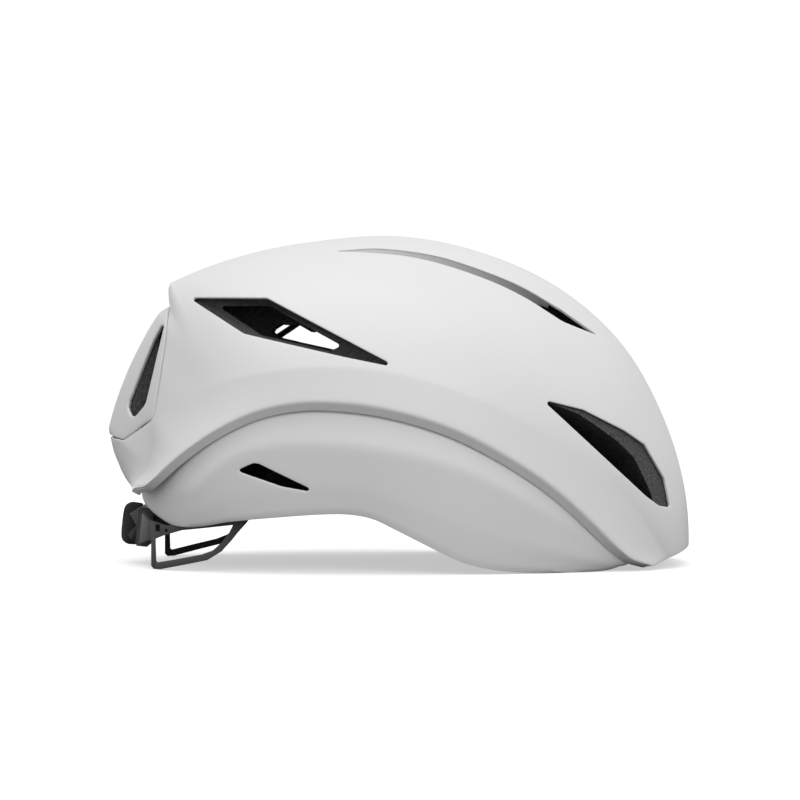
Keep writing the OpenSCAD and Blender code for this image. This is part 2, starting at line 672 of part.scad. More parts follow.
// Straight rack whose pitch line lies on Y, teeth up, with a gap at its origin
rack_teeth = 6;
module rack_outline(rear, front) {
    half_root = tooth_pitch / 4 - 0.1 + 1.25 * gear_module * tan(pressure);
    half_tip = tooth_pitch / 4 - 0.1 - 0.95 * gear_module * tan(pressure);
    translate([rear, -1.25 * gear_module - rack_height]) square([front - rear, rack_height]);
    for (i = [0:rack_teeth - 1]) translate([(0.5 + i) * tooth_pitch - (rack_teeth - 2) * tooth_pitch, 0])
        polygon([[-half_root, -1.25 * gear_module - 0.05], [-half_tip, 0.95 * gear_module],
            [half_tip, 0.95 * gear_module], [half_root, -1.25 * gear_module - 0.05]]);
}

// Knob: ribbed rim, hollow towards the housing, with its shaft
cheek_gap = 0.6;
rim_radius = knob_diameter / 2;
rib_depth = 0.45;
module rib_outline() {
    circle(r = rim_radius - rib_depth, $fn = 96);
    for (i = [0:knob_ribs - 1]) rotate(i * 360 / knob_ribs)
        translate([rim_radius - rib_depth - 0.4, 0]) polygon([[0, -0.5], [0.85, -0.22], [0.85, 0.22], [0, 0.5]]);
}
module dial_knob() {
    color("dimgray") dial_frame() difference() {
        union() {
            along_x(-knob_depth + 1.6) linear_extrude(knob_depth - 1.6) rib_outline();
            along_x(-knob_depth) cylinder(r1 = rim_radius - 2, r2 = rim_radius - rib_depth, h = 1.6, $fn = 96);
            along_x(-1) cylinder(d = shaft_diameter, h = gear_near + gear_thickness + 1, $fn = 48);
        }
        along_x(-3) difference() {
            cylinder(r = rim_radius - 2, h = 4, $fn = 64);
            translate([0, 0, -1]) cylinder(d = shaft_diameter, h = 6, $fn = 48);
        }
        along_x(-2) cylinder(d = screw_diameter + 0.1, h = gear_near + gear_thickness + 3, $fn = 24);
    }
}
screw_diameter = 1.8;
module dial_screw() {
    end = gear_near + gear_thickness;
    color("silver") dial_frame() {
        along_x(-1.5) cylinder(d = screw_diameter, h = end + 1.6, $fn = 24);
        along_x(end + 0.1) cylinder(d = 2 * screw_diameter, h = 1.1, $fn = 32);
    }
}

// Ratchet of the dial: a toothed ring on the housing and a two-armed spring on the knob
click_outer = rim_radius - 2.5;
click_teeth = 24;
module click_ring() {
    color("gray") dial_frame() along_x(-2.2) linear_extrude(2.2 + back_face) difference() {
        circle(r = click_outer, $fn = 64);
        circle(r = click_outer - 1.5, $fn = 64);
        for (i = [0:click_teeth - 1]) rotate(i * 360 / click_teeth) translate([click_outer - 1.5, 0])
            polygon([[-0.3, -0.5], [0.6, 0], [-0.3, 0.5]]);
    }
}
module click_spring() {
    reach = click_outer - 1.5 - 0.3;
    color("silver") dial_frame() along_x(-2.6) linear_extrude(2) difference() {
        union() {
            circle(r = shaft_diameter / 2 + 1, $fn = 48);
            for (a = [0, 180]) rotate(a) {
                difference() {
                    circle(r = reach - 0.4, $fn = 64);
                    circle(r = reach - 1.1, $fn = 64);
                    rotate(150) translate([-20, 0]) square([40, 20]);
                    translate([-20, -20]) square([40, 20]);
                }
                translate([shaft_diameter / 2, 0]) square([reach - 0.9 - shaft_diameter / 2, 0.8]);
                rotate(143) translate([reach - 0.6, 0]) circle(r = 0.5, $fn = 24);
            }
        }
        circle(d = shaft_diameter + 0.04, $fn = 48);
    }
}

// Housing: back wall with the shaft's bore, top, floor and ends, and the two V-notched cheeks
cheek_upper = [[-133.2, 25.1], [-127.6, 28.2], [-126, 28.2], [-126, 18.8], [-129.9, 18.9]];
cheek_lower = [[-129.9, 18.9], [-126, 18.8], [-126, 10], [-130.1, 9.9], [-134.4, 13.9]];
cheek_thickness = 2.4;
module cheek(outline, z_end) {
    hull() {
        translate([0, -rim_radius - cheek_gap, 0]) rotate([90, 0, 0]) linear_extrude(cheek_thickness)
            polygon([for (p = outline) [p[0] * sx, p[1]]]);
        dial_frame() dial_block(back_face - 0.6, back_face + 0.3, -half_housing, -half_housing + 1,
            min(0, z_end), max(0, z_end));
    }
}
half_housing = housing_width / 2;
rack_room = rack_depth + 0.3;
module dial_block(x_a, x_b, y_a, y_b, z_a, z_b) {
    translate([x_a, y_a, z_a]) cube([x_b - x_a, y_b - y_a, z_b - z_a]);
}
module cradle_housing() {
    color("dimgray") {
        dial_frame() difference() {
            dial_block(back_face, cover_face, -half_housing, half_housing,
                -housing_half_height, housing_half_height);
            dial_block(back_face + housing_wall, cover_face + 1, -half_housing + housing_wall,
                half_housing - housing_wall, -rack_room, rack_room);
            dial_block(back_face + housing_wall, cover_face + 1, -half_housing - 1, 0, -rack_room,
                -pitch_radius + 1.3 * gear_module);
            dial_block(back_face + housing_wall, cover_face + 1, 0, half_housing + 1,
                pitch_radius - 1.3 * gear_module, rack_room);
            along_x(-1) cylinder(d = shaft_diameter + 2 * run_gap, h = 6, $fn = 48);
        }
        difference() {
            both_sides() {
                cheek(cheek_upper, housing_half_height - 1);
                cheek(cheek_lower, 1 - housing_half_height);
            }
            dial_frame() dial_block(back_face + 0.3, 20, -40, 40, -20, 20);
        }
    }
}
cover_thickness = 1.6;
cover_side = [[-126, 30], [-122.4, 28.8], [-119.6, 25.6], [-119.6, 13.8], [-123.6, 9.6], [-126, 9.6]];
stem_radius = 145 * sx;
stem_thickness = 2;
tongue_outline = [[-124, 26], [-119, 25.2], [-112, 24.4], [-98, 24.6], [-98, 19], [-106, 18.6], [-114.3, 16],
    [-119.2, 14.4], [-124, 12.6]];
tongue_half = 12;
foot_z = 21.7;
screw_y = 5;
function stem_x(r, z) = post_x - sqrt(r * r - (post_z - z) * (post_z - z));
module stem_drum(r, half) {
    translate([post_x, half, post_z]) rotate([90, 0, 0]) cylinder(r = r, h = 2 * half, $fn = 180);
}
module housing_cover() {
    color("dimgray") difference() {
        union() {
            intersection() {
                dial_frame() dial_block(cover_face + 0.02, cover_face + cover_thickness, -half_housing,
                    half_housing, -housing_half_height, housing_half_height);
                translate([0, half_housing, 0]) rotate([90, 0, 0]) linear_extrude(2 * half_housing)
                    polygon([for (p = cover_side) [p[0] * sx, p[1]]]);
            }
            difference() {
                translate([0, tongue_half, 0]) rotate([90, 0, 0]) linear_extrude(2 * tongue_half)
                    polygon([for (p = tongue_outline) [p[0] * sx, p[1]]]);
                dial_frame() dial_block(-20, cover_face + 0.5, -40, 40, -20, 20);
                stem_drum(stem_radius + stem_thickness / 2 + 0.05, tongue_half + 1);
            }
        }
        dial_frame() along_x(gear_near) cylinder(d = 2 * screw_diameter + 1, h = 9, $fn = 32);
        for (y = [-screw_y, screw_y]) translate([stem_x(stem_radius, foot_z) - screw_reach - 0.5, y, foot_z])
            rotate([0, 90, 0]) cylinder(d = 2.1, h = 20, $fn = 24);
    }
}
screw_reach = 9;
module slider_screws() {
    color("silver") for (y = [-screw_y, screw_y]) translate([stem_x(stem_radius, foot_z), y, foot_z])
        rotate([0, 90, 0]) {
            translate([0, 0, -screw_reach]) cylinder(d = 2, h = screw_reach + 2.4, $fn = 24);
            translate([0, 0, 1.4]) cylinder(d = 3.8, h = 1.2, $fn = 32);
        }
}

// Stem of the cradle, an arc about the posts, and the track in the foam that guides it
stem_low = 18.9;
stem_high = 62;
track_low = 33;
track_high = 68;
track_wall = 1.8;
module drum_slice(r_in, r_out, half, low, high) {
    intersection() {
        difference() {
            stem_drum(r_out, half);
            stem_drum(r_in, half + 1);
        }
        translate([post_x - stem_radius - 20, -half, low]) cube([60, 2 * half, high - low]);
    }
}
module height_slider() {
    r_in = stem_radius - stem_thickness / 2;
    r_out = stem_radius + stem_thickness / 2;
    color("dimgray") difference() {
        drum_slice(r_in, r_out, stem_width / 2, stem_low, stem_high);
        for (y = [-screw_y, screw_y]) translate([post_x - stem_radius - 10, y, foot_z]) rotate([0, 90, 0])
            cylinder(d = 2.1, h = 30, $fn = 24);
        for (z = [40, 47, 54]) translate([post_x - stem_radius - 10, -4, z]) cube([30, 8, 2.4]);
    }
}
module height_track() {
    half = stem_width / 2 + run_gap;
    color("gray") difference() {
        drum_slice(stem_radius - stem_thickness / 2 - run_gap - track_wall,
            stem_radius + stem_thickness / 2 + run_gap + track_wall, half + track_wall, track_low, track_high);
        drum_slice(stem_radius - stem_thickness / 2 - run_gap, stem_radius + stem_thickness / 2 + run_gap,
            half, track_low - 5, track_high + 5);
        translate([post_x - stem_radius, -4, 40]) cube([20, 8, 20]);
    }
}
module track_pocket() {
    half = stem_width / 2 + run_gap + track_wall + 0.3;
    rear = post_x - stem_radius - stem_thickness / 2 - run_gap - track_wall - 0.4;
    translate([rear, -half, 20]) cube([40, 2 * half, track_high - 20 + 0.4]);
    cradle_relief();
}

// Room in the foam for the loops and the rising part of the arms
loop_x = -68.4 * sx;
loop_radius = 69.4 * sy;
loop_clear = 3.6;
relief_low = 26.8;
relief_high = 36;
relief_rear = 18;
module cradle_relief() {
    translate([loop_x, 0, 0]) {
        cylinder(r = loop_radius + loop_clear, h = relief_low, $fn = 48);
        intersection() {
            cylinder(r = loop_radius + loop_clear, h = relief_high, $fn = 48);
            translate([-relief_rear, -past, 0]) cube([past, 2 * past, past]);
        }
    }
    linear_extrude(relief_high) offset(delta = 1.4) both_arms_plan();
}

// Loop of a wing in side view, with its window, and the arm that runs on to the post
loop_outer = [[-121.6, 23.6], [-121.6, 13.6], [-119.9, 14], [-119.9, 1.4], [-118.6, 0], [-115.2, 0],
    [-91.4, 5.4], [-84.5, 9.7], [-79.6, 15.1], [-74.9, 21], [-72, 25.6], [-74, 30], [-80, 27], [-104, 22.3],
    [-112, 21.4], [-118, 23]];
loop_window = [[-117.7, 14.6], [-117.4, 3.8], [-116.6, 3.1], [-94.4, 7.9], [-88.9, 10], [-84.4, 14.1],
    [-81, 18.5], [-79, 22.4], [-104, 19.4], [-113, 16.6]];
loop_slots = [[-117.6, 18.3, 2.3, 3.4], [-112.8, 18.2, 1.5, 1.5]];
arm_route = [[-75, 27], [-58, 31], [-20, 36.5], [40, 40]];
eye_diameter = 11;
module wing_side() {
    translate([0, past, 0]) rotate([90, 0, 0]) linear_extrude(2 * past) children();
}
// Rear corner of the loop, where its strap starts
corner_x = -121.4 * sx;
corner_y = sqrt(pow(loop_radius, 2) - pow(corner_x - loop_x, 2));
// Plan of the right arm: from the loop's tangent to the eye on its post
arm_overlap = 7.4;
eye_half = 8;
// Half height of the strap's shoulder beside the housing
shoulder_half = 7.6;
module arm_plan() {
    near = loop_radius - arm_thickness / 2;
    polygon([[loop_x - arm_overlap, -near - arm_thickness + 0.5], [loop_x, -near - arm_thickness],
        [post_x - eye_half, -eye_outer], [post_x + eye_half, -eye_outer],
        [post_x + eye_half, -eye_outer + arm_thickness], [post_x - eye_half, -eye_outer + arm_thickness],
        [loop_x, -near], [loop_x - arm_overlap, -near + 0.5]]);
}
module both_arms_plan() {
    arm_plan();
    mirror([0, 1]) arm_plan();
}
module wing_outline() {
    difference() {
        polygon([for (p = loop_outer) [p[0] * sx, p[1]]]);
        polygon([for (p = loop_window) [p[0] * sx, p[1]]]);
        for (p = loop_slots) translate([p[0] * sx, p[1]]) square([p[2], p[3]]);
    }
}
module arm_outline() {
    for (i = [0:len(arm_route) - 2]) let (
        a = [arm_route[i][0] * sx, arm_route[i][1] * (i > 1 ? sz : 1)],
        b = [arm_route[i + 1][0] * sx, arm_route[i + 1][1] * (i + 1 > 1 ? sz : 1)],
        n = unit([a[1] - b[1], b[0] - a[0]]) * arm_width / 2)
        polygon([a + n, a - n, b - n, b + n]);
    for (i = [1, 2]) translate([arm_route[i][0] * sx, arm_route[i][1] * (i > 1 ? sz : 1)])
        circle(d = arm_width, $fn = 24);
    translate([post_x, post_z]) circle(d = eye_diameter, $fn = 48);
}
// Wing of the right side, with its rack at the lower or the upper side of the gear
module wing(upper) {
    plate_z = upper ? -pitch_radius : -rack_depth;
    difference() {
        union() {
            intersection() {
                wing_side() wing_outline();
                difference() {
                    translate([loop_x, 0, -1]) cylinder(r = loop_radius + arm_thickness / 2, h = past, $fn = 128);
                    translate([loop_x, 0, -2]) cylinder(r = loop_radius - arm_thickness / 2, h = 2 * past, $fn = 128);
                }
                translate([loop_x + 0.5 - past, -past, -past]) cube([past, past, 2 * past]);
            }
            intersection() {
                wing_side() arm_outline();
                linear_extrude(past) arm_plan();
            }
            // Strap from the loop's corner to the housing
            hull() {
                translate([corner_x, -corner_y - 2.2, 14]) cube([2.2, 2, 9.4]);
                dial_frame() translate([gear_near + 0.3, -half_housing - wing_travel - 2, plate_z])
                    cube([gear_thickness - 0.6, 1, rack_depth + pitch_radius]);
                dial_frame() translate([gear_near + 0.3, -half_housing - wing_travel - 7, -shoulder_half])
                    cube([gear_thickness - 1.2, 1, 2 * shoulder_half]);
            }
            dial_frame() translate([gear_near + 0.1, 0, upper ? pitch_radius : -pitch_radius])
                rotate([90, 0, 90]) linear_extrude(gear_thickness - 0.2)
                    scale([1, upper ? -1 : 1]) rack_outline(-half_housing - wing_travel - 1.4, 2 * tooth_pitch);
        }
        translate([post_x, 0, post_z]) rotate([90, 0, 0])
            cylinder(d = post_diameter + 2 * run_gap, h = past, $fn = 48);
    }
}
module wing_right() {
    color("dimgray") wing(false);
}
module wing_left() {
    color("dimgray") mirror([0, 1, 0]) wing(true);
}

upper_shell();
lower_shell();
rear_bezel();
foam_liner();
brow_pad();
crown_pad();
side_pad_right();
side_pad_left();
nape_pad_right();
nape_pad_left();
pad_hooks();
strap_anchor_front();
strap_anchor_rear();
temple_post_right();
temple_post_left();
height_track();
height_slider();
cradle_housing();
housing_cover();
slider_screws();
click_ring();
drive_gear();
dial_knob();
dial_screw();
click_spring();
wing_right();
wing_left();
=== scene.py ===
"""Road bike helmet: moulded shells, foam, pads and the dial-driven cradle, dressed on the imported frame.

Lengths are in millimetres and turn into metres when a mesh is made. X runs from the tail to the brow,
Y to the wearer's left, Z up. The shells are worked out as a right half and mirrored.
"""
from __future__ import annotations

import logging
import math
from contextlib import contextmanager
from dataclasses import dataclass
from enum import Enum
from functools import cache
from itertools import product
from typing import Callable, Iterator, Sequence

import bmesh
import bpy
import numpy as np
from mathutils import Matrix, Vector
from mathutils.geometry import convex_hull_2d, delaunay_2d_cdt
from mathutils.kdtree import KDTree


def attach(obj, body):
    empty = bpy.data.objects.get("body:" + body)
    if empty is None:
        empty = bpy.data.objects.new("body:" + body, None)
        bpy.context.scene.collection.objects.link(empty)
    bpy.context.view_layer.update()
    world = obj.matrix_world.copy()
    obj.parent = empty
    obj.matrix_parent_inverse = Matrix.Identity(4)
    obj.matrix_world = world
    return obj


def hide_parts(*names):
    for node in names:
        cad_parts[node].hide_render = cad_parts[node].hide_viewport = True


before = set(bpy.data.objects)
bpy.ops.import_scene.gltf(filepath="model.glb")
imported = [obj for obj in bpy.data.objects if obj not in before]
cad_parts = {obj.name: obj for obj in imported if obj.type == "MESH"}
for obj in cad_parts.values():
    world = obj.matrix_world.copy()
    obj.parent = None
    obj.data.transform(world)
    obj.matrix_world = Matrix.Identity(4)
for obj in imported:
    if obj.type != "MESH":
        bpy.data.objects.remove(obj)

log = logging.getLogger("helmet")
MM = 0.001
TINY = 1e-9
MIRROR = (1, -1, 1)
Points = np.ndarray
Outline = Sequence[Sequence[float]]
Piece = bpy.types.Object
Tree = bpy.types.NodeTree


class Body(Enum):
    """The bodies that pieces ride on."""

    HELMET = "helmet"
    CRADLE = "cradle"
    DIAL = "dial"
    ARM_RIGHT = "arm_right"
    ARM_LEFT = "arm_left"


class Side(Enum):
    """The wearer's sides, as the sign of Y."""

    RIGHT = -1
    LEFT = 1


# ---------------------------------------------------------------- numbers and outlines


def curve(knots: Outline, x: Points) -> Points:
    """Smooth curve through knots of rising first value, read at x.

    Args:
        knots: points of rising first value.
        x: where the curve is read.

    Returns:
        Its values there.
    """
    xs, ys = np.asarray(knots, float)[:, :2].T
    k = np.arange(len(xs))
    before, after = np.maximum(k - 1, 0), np.minimum(k + 1, k[-1])
    rise = (ys[after] - ys[before]) / (xs[after] - xs[before])
    i = np.clip(np.searchsorted(xs, x) - 1, 0, k[-1] - 1)
    h = xs[i + 1] - xs[i]
    t = np.clip((x - xs[i]) / h, 0, 1)
    u = 1 - t
    ends = ys[i] * u * u * (1 + 2 * t) + ys[i + 1] * t * t * (3 - 2 * t)
    return ends + rise[i] * h * t * u * u - rise[i + 1] * h * t * t * u


def ease(t: Points) -> Points:
    """Smooth step from 0 to 1."""
    c = np.clip(t, 0, 1)
    return c * c * (3 - 2 * c)


def mix(a: Points, b: Points, t: Points) -> Points:
    """Straight blend from a to b."""
    return a + (b - a) * t


def unit(vectors: Points) -> Points:
    """Vectors brought to length one."""
    return vectors / np.maximum(np.linalg.norm(vectors, axis=-1, keepdims=True), TINY)


def run_of(line: Points) -> Points:
    """Length along a line up to each of its points."""
    return np.concatenate([[0], np.cumsum(np.linalg.norm(np.diff(line, axis=0), axis=1))])


def circle(radius: float, step: float) -> Points:
    """Points of a circle, so many degrees apart."""
    turn = np.radians(np.arange(0, 360, step))
    return np.column_stack([np.cos(turn), np.sin(turn)]) * radius


def rounded(outline: Outline, radius: float, closed: bool = True, steps: int = 6) -> Points:
    """Outline with its corners rounded.

    Args:
        outline: corner points.
        radius: how far from each corner its curve starts.
        closed: whether the last point joins the first.
        steps: points along each corner.

    Returns:
        The rounded outline.
    """
    p = np.asarray(outline, float)
    t = np.linspace(0, 1, steps)[:, None]
    made = []
    for i, b in enumerate(p):
        if not closed and i in (0, len(p) - 1):
            made.append(b[None])
            continue
        ends = []
        for other in (p[i - 1], p[(i + 1) % len(p)]):
            length = np.linalg.norm(other - b)
            ends.append(b + (other - b) / length * min(radius, length * 0.45))
        made.append((1 - t) ** 2 * ends[0] + 2 * t * (1 - t) * b + t * t * ends[1])
    return np.vstack(made)


def swollen(outline: Outline, radius: float) -> Points:
    """Convex outline moved outwards, with round corners."""
    cloud = (np.asarray(outline, float)[:, None] + circle(radius, 12)[None]).reshape(-1, 2)
    return cloud[convex_hull_2d([Vector(c) for c in cloud])]


def spaced(outline: Points, gap: float, closed: bool = True) -> Points:
    """Outline divided into pieces of about one length, without the repeated first point of a ring.

    Args:
        outline: points.
        gap: length aimed at.
        closed: whether the last point joins the first.

    Returns:
        The new points.
    """
    p = np.vstack([outline, outline[:1]]) if closed else outline
    run = run_of(p)
    at = np.linspace(0, run[-1], max(3, int(round(run[-1] / gap))) + 1)
    new = np.column_stack([np.interp(at, run, column) for column in p.T])
    return new[:-1] if closed else new


def inside(points: Points, ring: Points) -> Points:
    """Which points lie inside a ring.

    Args:
        points: points to test.
        ring: the ring.

    Returns:
        A flag for each point.
    """
    x, y = points.T
    hit = np.zeros(len(points), bool)
    for (x0, y0), (x1, y1) in zip(ring, np.roll(ring, -1, axis=0)):
        if y0 != y1:
            hit ^= ((y0 > y) != (y1 > y)) & (x < (x1 - x0) * (y - y0) / (y1 - y0) + x0)
    return hit


def grown(ring: Points, by: float) -> Points:
    """Ring moved outwards by a distance, or inwards by a negative one.

    Args:
        ring: the ring.
        by: distance.

    Returns:
        The moved ring.
    """
    x, y = ring.T
    area = np.sum(x * np.roll(y, -1) - np.roll(x, -1) * y)
    edge = unit(np.roll(ring, -1, axis=0) - ring)
    out = np.column_stack([edge[:, 1], -edge[:, 0]]) * np.sign(area)
    corner = out + np.roll(out, 1, axis=0)
    return ring + corner / np.maximum(np.sum(corner * out, axis=1, keepdims=True), 0.5) * by


def upright(outline: Points, y: Points | float) -> Points:
    """Points of an outline in side view, set at a distance across."""
    return np.column_stack([outline[:, 0], 0 * outline[:, 0] + y, outline[:, 1]])


def facing(verts: Points, tris: Points) -> Points:
    """Normals of triangles, as long as twice their area."""
    a, b, c = (verts[tris[:, k]] for k in range(3))
    return np.cross(b - a, c - a)


def normals_of(verts: Points, tris: Points) -> Points:
    """Normal of each vertex of a triangle mesh.

    Args:
        verts: points.
        tris: triangles.

    Returns:
        Normals of length one.
    """
    total = np.zeros_like(verts)
    for k in range(3):
        np.add.at(total, tris[:, k], facing(verts, tris))
    return unit(total)


def outwards(verts: Points, tris: Points, centre: Sequence[float]) -> Points:
    """Triangles turned to face away from a centre."""
    away = verts[tris].mean(axis=1) - centre
    return tris if np.sum(facing(verts, tris) * away) > 0 else tris[:, ::-1]


def sunk(grid: Points, depth: Points | float, centre: Sequence[float]) -> Points:
    """Grid of points moved in along its normals, towards a centre."""
    n = unit(np.cross(np.gradient(grid, axis=1), np.gradient(grid, axis=0)))
    return grid - n * depth * np.sign(np.sum(n * (grid - centre)))


def bilinear(grid: Points, i: Points, f: Points, s: Points) -> Points:
    """Points of a grid, read at the rows i + f and the columns s.

    Args:
        grid: rows and columns of points.
        i: row numbers.
        f: share of the way to the next row.
        s: columns, with fractions.

    Returns:
        The points.
    """
    j = np.clip(s.astype(int), 0, grid.shape[1] - 2)
    g, f = np.clip(s - j, 0, 1)[:, None], f[:, None]
    return mix(mix(grid[i, j], grid[i, j + 1], g), mix(grid[i + 1, j], grid[i + 1, j + 1], g), f)


def nearest(points: Outline) -> KDTree:
    """Search tree of points on a plane.

    Args:
        points: the points.

    Returns:
        The tree.
    """
    tree = KDTree(len(points))
    for k, p in enumerate(points):
        tree.insert((*p, 0), k)
    tree.balance()
    return tree


# ---------------------------------------------------------------- meshes


def linked(name: str, data: bpy.types.ID) -> Piece:
    """New object of the scene that shows some data.

    Args:
        name: the object's name.
        data: its mesh, light or camera.

    Returns:
        The object.
    """
    made = bpy.data.objects.new(name, data)
    bpy.context.scene.collection.objects.link(made)
    return made


def smoothed(mesh: bpy.types.Mesh, crisp: float) -> None:
    """Shades a mesh smooth, apart from edges that turn by more than so many degrees."""
    mesh.shade_smooth()
    mesh.set_sharp_from_angle(angle=math.radians(crisp))


@contextmanager
def edited(mesh: bpy.types.Mesh) -> Iterator[bmesh.types.BMesh]:
    """Opens a mesh for editing and writes it back.

    Args:
        mesh: the mesh.

    Yields:
        The open mesh.
    """
    bm = bmesh.new()
    bm.from_mesh(mesh)
    yield bm
    bm.to_mesh(mesh)
    bm.free()


def mesh_piece(name: str, verts: Points, faces: Sequence[Sequence[int]], crisp: float = 40.0) -> Piece:
    """Makes a piece at the origin from points in millimetres.

    Args:
        name: the piece's name.
        verts: points.
        faces: loops of point numbers.
        crisp: edges that turn by more than this many degrees stay sharp.

    Returns:
        The new object.
    """
    mesh = bpy.data.meshes.new(name)
    mesh.from_pydata((np.asarray(verts, float) * MM).tolist(), [], [list(map(int, f)) for f in faces])
    mesh.validate()
    smoothed(mesh, crisp)
    return linked(name, mesh)


def applied(piece: Piece, crisp: float = 40.0) -> None:
    """Turns a piece's modifiers into plain mesh.

    Args:
        piece: the piece.
        crisp: edges that turn by more than this many degrees stay sharp.
    """
    graph = bpy.context.evaluated_depsgraph_get()
    mesh = bpy.data.meshes.new_from_object(piece.evaluated_get(graph), depsgraph=graph)
    old = piece.data
    piece.modifiers.clear()
    piece.data = mesh
    mesh.name = piece.name
    if old.users == 0:
        bpy.data.meshes.remove(old)
    smoothed(mesh, crisp)


def discard(*pieces: Piece) -> None:
    """Removes helper pieces and their meshes.

    Args:
        pieces: the helper pieces.
    """
    for piece in pieces:
        mesh = piece.data
        bpy.data.objects.remove(piece)
        if mesh.users == 0:
            bpy.data.meshes.remove(mesh)


def tidy_solid(piece: Piece) -> None:
    """Merges a helper solid's doubles and turns its faces outwards.

    Args:
        piece: the solid.
    """
    with edited(piece.data) as bm:
        bmesh.ops.remove_doubles(bm, verts=bm.verts, dist=1e-6)
        bmesh.ops.recalc_face_normals(bm, faces=bm.faces)


def floor_cut(piece: Piece) -> None:
    """Raises any point that lies below the standing surface onto it."""
    for v in piece.data.vertices:
        v.co.z = max(v.co.z, 0.0)


def cut(piece: Piece, operation: str, **other: object) -> None:
    """Adds an exact Boolean to a piece; other says with what.

    Args:
        piece: the piece.
        operation: UNION or DIFFERENCE.
        other: the step's other settings, such as its object.
    """
    step = piece.modifiers.new(operation, "BOOLEAN")
    step.operation, step.solver = operation, "EXACT"
    for key, value in other.items():
        setattr(step, key, value)


def closed_skin(verts: Points, tris: Points, wall: float, edge: float, steps: int = 4) -> tuple[Points, list]:
    """Gives a surface its wall, with rounded outer edges.

    Args:
        verts: points of the outer surface.
        tris: its triangles, facing outwards.
        wall: thickness.
        edge: radius of the outer edges.
        steps: rings round each edge.

    Returns:
        Points and faces of the closed wall.
    """
    normal, count = normals_of(verts, tris), len(verts)
    keys = {(int(a), int(b)) for k in range(3) for a, b in tris[:, [k, (k + 1) % 3]]}
    rim = np.array([e for e in keys if e[::-1] not in keys])
    run, reach = unit(verts[rim[:, 1]] - verts[rim[:, 0]]), np.zeros_like(verts)
    for k in range(2):
        np.add.at(reach, rim[:, k], np.cross(run, normal[rim[:, k]]))
    on_rim = np.unique(rim)
    out, up = unit(reach)[on_rim] * edge, normal[on_rim] * edge
    rings = [verts[on_rim] + out * math.sin(turn) - up * (1 - math.cos(turn))
             for turn in np.linspace(0, math.pi / 2, steps + 1)[1:]]
    slot = {int(v): i for i, v in enumerate(on_rim)}

    def at(ring: int, v: int) -> int:
        """Number of a rim point on a ring.

        Args:
            ring: number of the ring.
            v: the rim point's number on the surface.

        Returns:
            Its number on that ring.
        """
        if ring in (0, steps + 1):
            return v + (count if ring else 0)
        return 2 * count + (ring - 1) * len(on_rim) + slot[v]

    faces = [*map(tuple, tris), *map(tuple, tris[:, ::-1] + count)]
    for a, b in rim.tolist():
        faces += [(at(k, b), at(k, a), at(k + 1, a), at(k + 1, b)) for k in range(steps + 1)]
    return np.vstack([verts, verts - normal * wall, *rings]), faces


def stacked(rows: Sequence[Points]) -> tuple[Points, list]:
    """Solid through a row of rings with equal numbers of points.

    Args:
        rows: the rings.

    Returns:
        Points and faces.
    """
    n, last = len(rows[0]), (len(rows) - 1) * len(rows[0])
    faces: list = [tuple(range(n))]
    for a in range(0, last, n):
        faces += [(a + j, a + n + j, a + n + (j + 1) % n, a + (j + 1) % n) for j in range(n)]
    return np.vstack(rows), [*faces, tuple(range(last + n - 1, last - 1, -1))]


def hull_piece(name: str, points: Outline) -> Piece:
    """Closed convex piece round some points.

    Args:
        name: the piece's name.
        points: the points.

    Returns:
        The piece.
    """
    mesh = bpy.data.meshes.new(name)
    with edited(mesh) as bm:
        for p in points:
            bm.verts.new(Vector(p) * MM)
        found = bmesh.ops.convex_hull(bm, input=bm.verts)
        spare = [g for g in found["geom_interior"] if isinstance(g, bmesh.types.BMVert)]
        bmesh.ops.delete(bm, geom=spare, context="VERTS")
        bmesh.ops.recalc_face_normals(bm, faces=bm.faces)
    return linked(name, mesh)


# ---------------------------------------------------------------- finishes


def feed(node: bpy.types.Node, inputs: dict) -> bpy.types.Node:
    """Gives a node's inputs their values, or links them to sockets.

    Args:
        node: the node.
        inputs: values or sockets, by the name or number of the input.

    Returns:
        The node.
    """
    for key, value in inputs.items():
        if isinstance(value, bpy.types.NodeSocket):
            node.id_data.links.new(value, node.inputs[key])
        else:
            node.inputs[key].default_value = value
    return node


def add(tree: Tree, kind: str, inputs: dict | None = None, **settings: object) -> bpy.types.Node:
    """Adds a node to a tree.

    Args:
        tree: the node tree.
        kind: type of the node; a shader node's leaves out its first words.
        inputs: values or sockets, by the name or number of the input.
        settings: values of the node's properties.

    Returns:
        The node.
    """
    node = tree.nodes.new(kind if "Node" in kind else f"ShaderNode{kind}")
    for key, value in settings.items():
        setattr(node, key, value)
    return feed(node, inputs or {})


def maths(tree: Tree, operation: str, a: object, b: object) -> bpy.types.NodeSocket:
    """Adds a Math node; a and b are sockets or numbers."""
    return add(tree, "Math", {0: a, 1: b}, operation=operation).outputs[0]


def noise(tree: Tree, at: object, scale: object, detail: float = 2.0) -> bpy.types.NodeSocket:
    """Adds a Noise texture and returns its value."""
    return add(tree, "TexNoise", {"Vector": at, "Scale": scale, "Detail": detail}).outputs["Fac"]


def start_group(name: str, numbers: dict[str, float]) -> tuple[Tree, Sequence]:
    """Starts a shader node group with a Vector and numbers; returns it and the sockets that bring them.

    Args:
        name: the group's name.
        numbers: default values, by socket.

    Returns:
        The group's tree and the sockets.
    """
    tree = bpy.data.node_groups.new(name, "ShaderNodeTree")
    tree.interface.new_socket("Vector", in_out="INPUT", socket_type="NodeSocketVector")
    for key, value in numbers.items():
        tree.interface.new_socket(key, in_out="INPUT", socket_type="NodeSocketFloat").default_value = value
    return tree, tree.nodes.new("NodeGroupInput").outputs


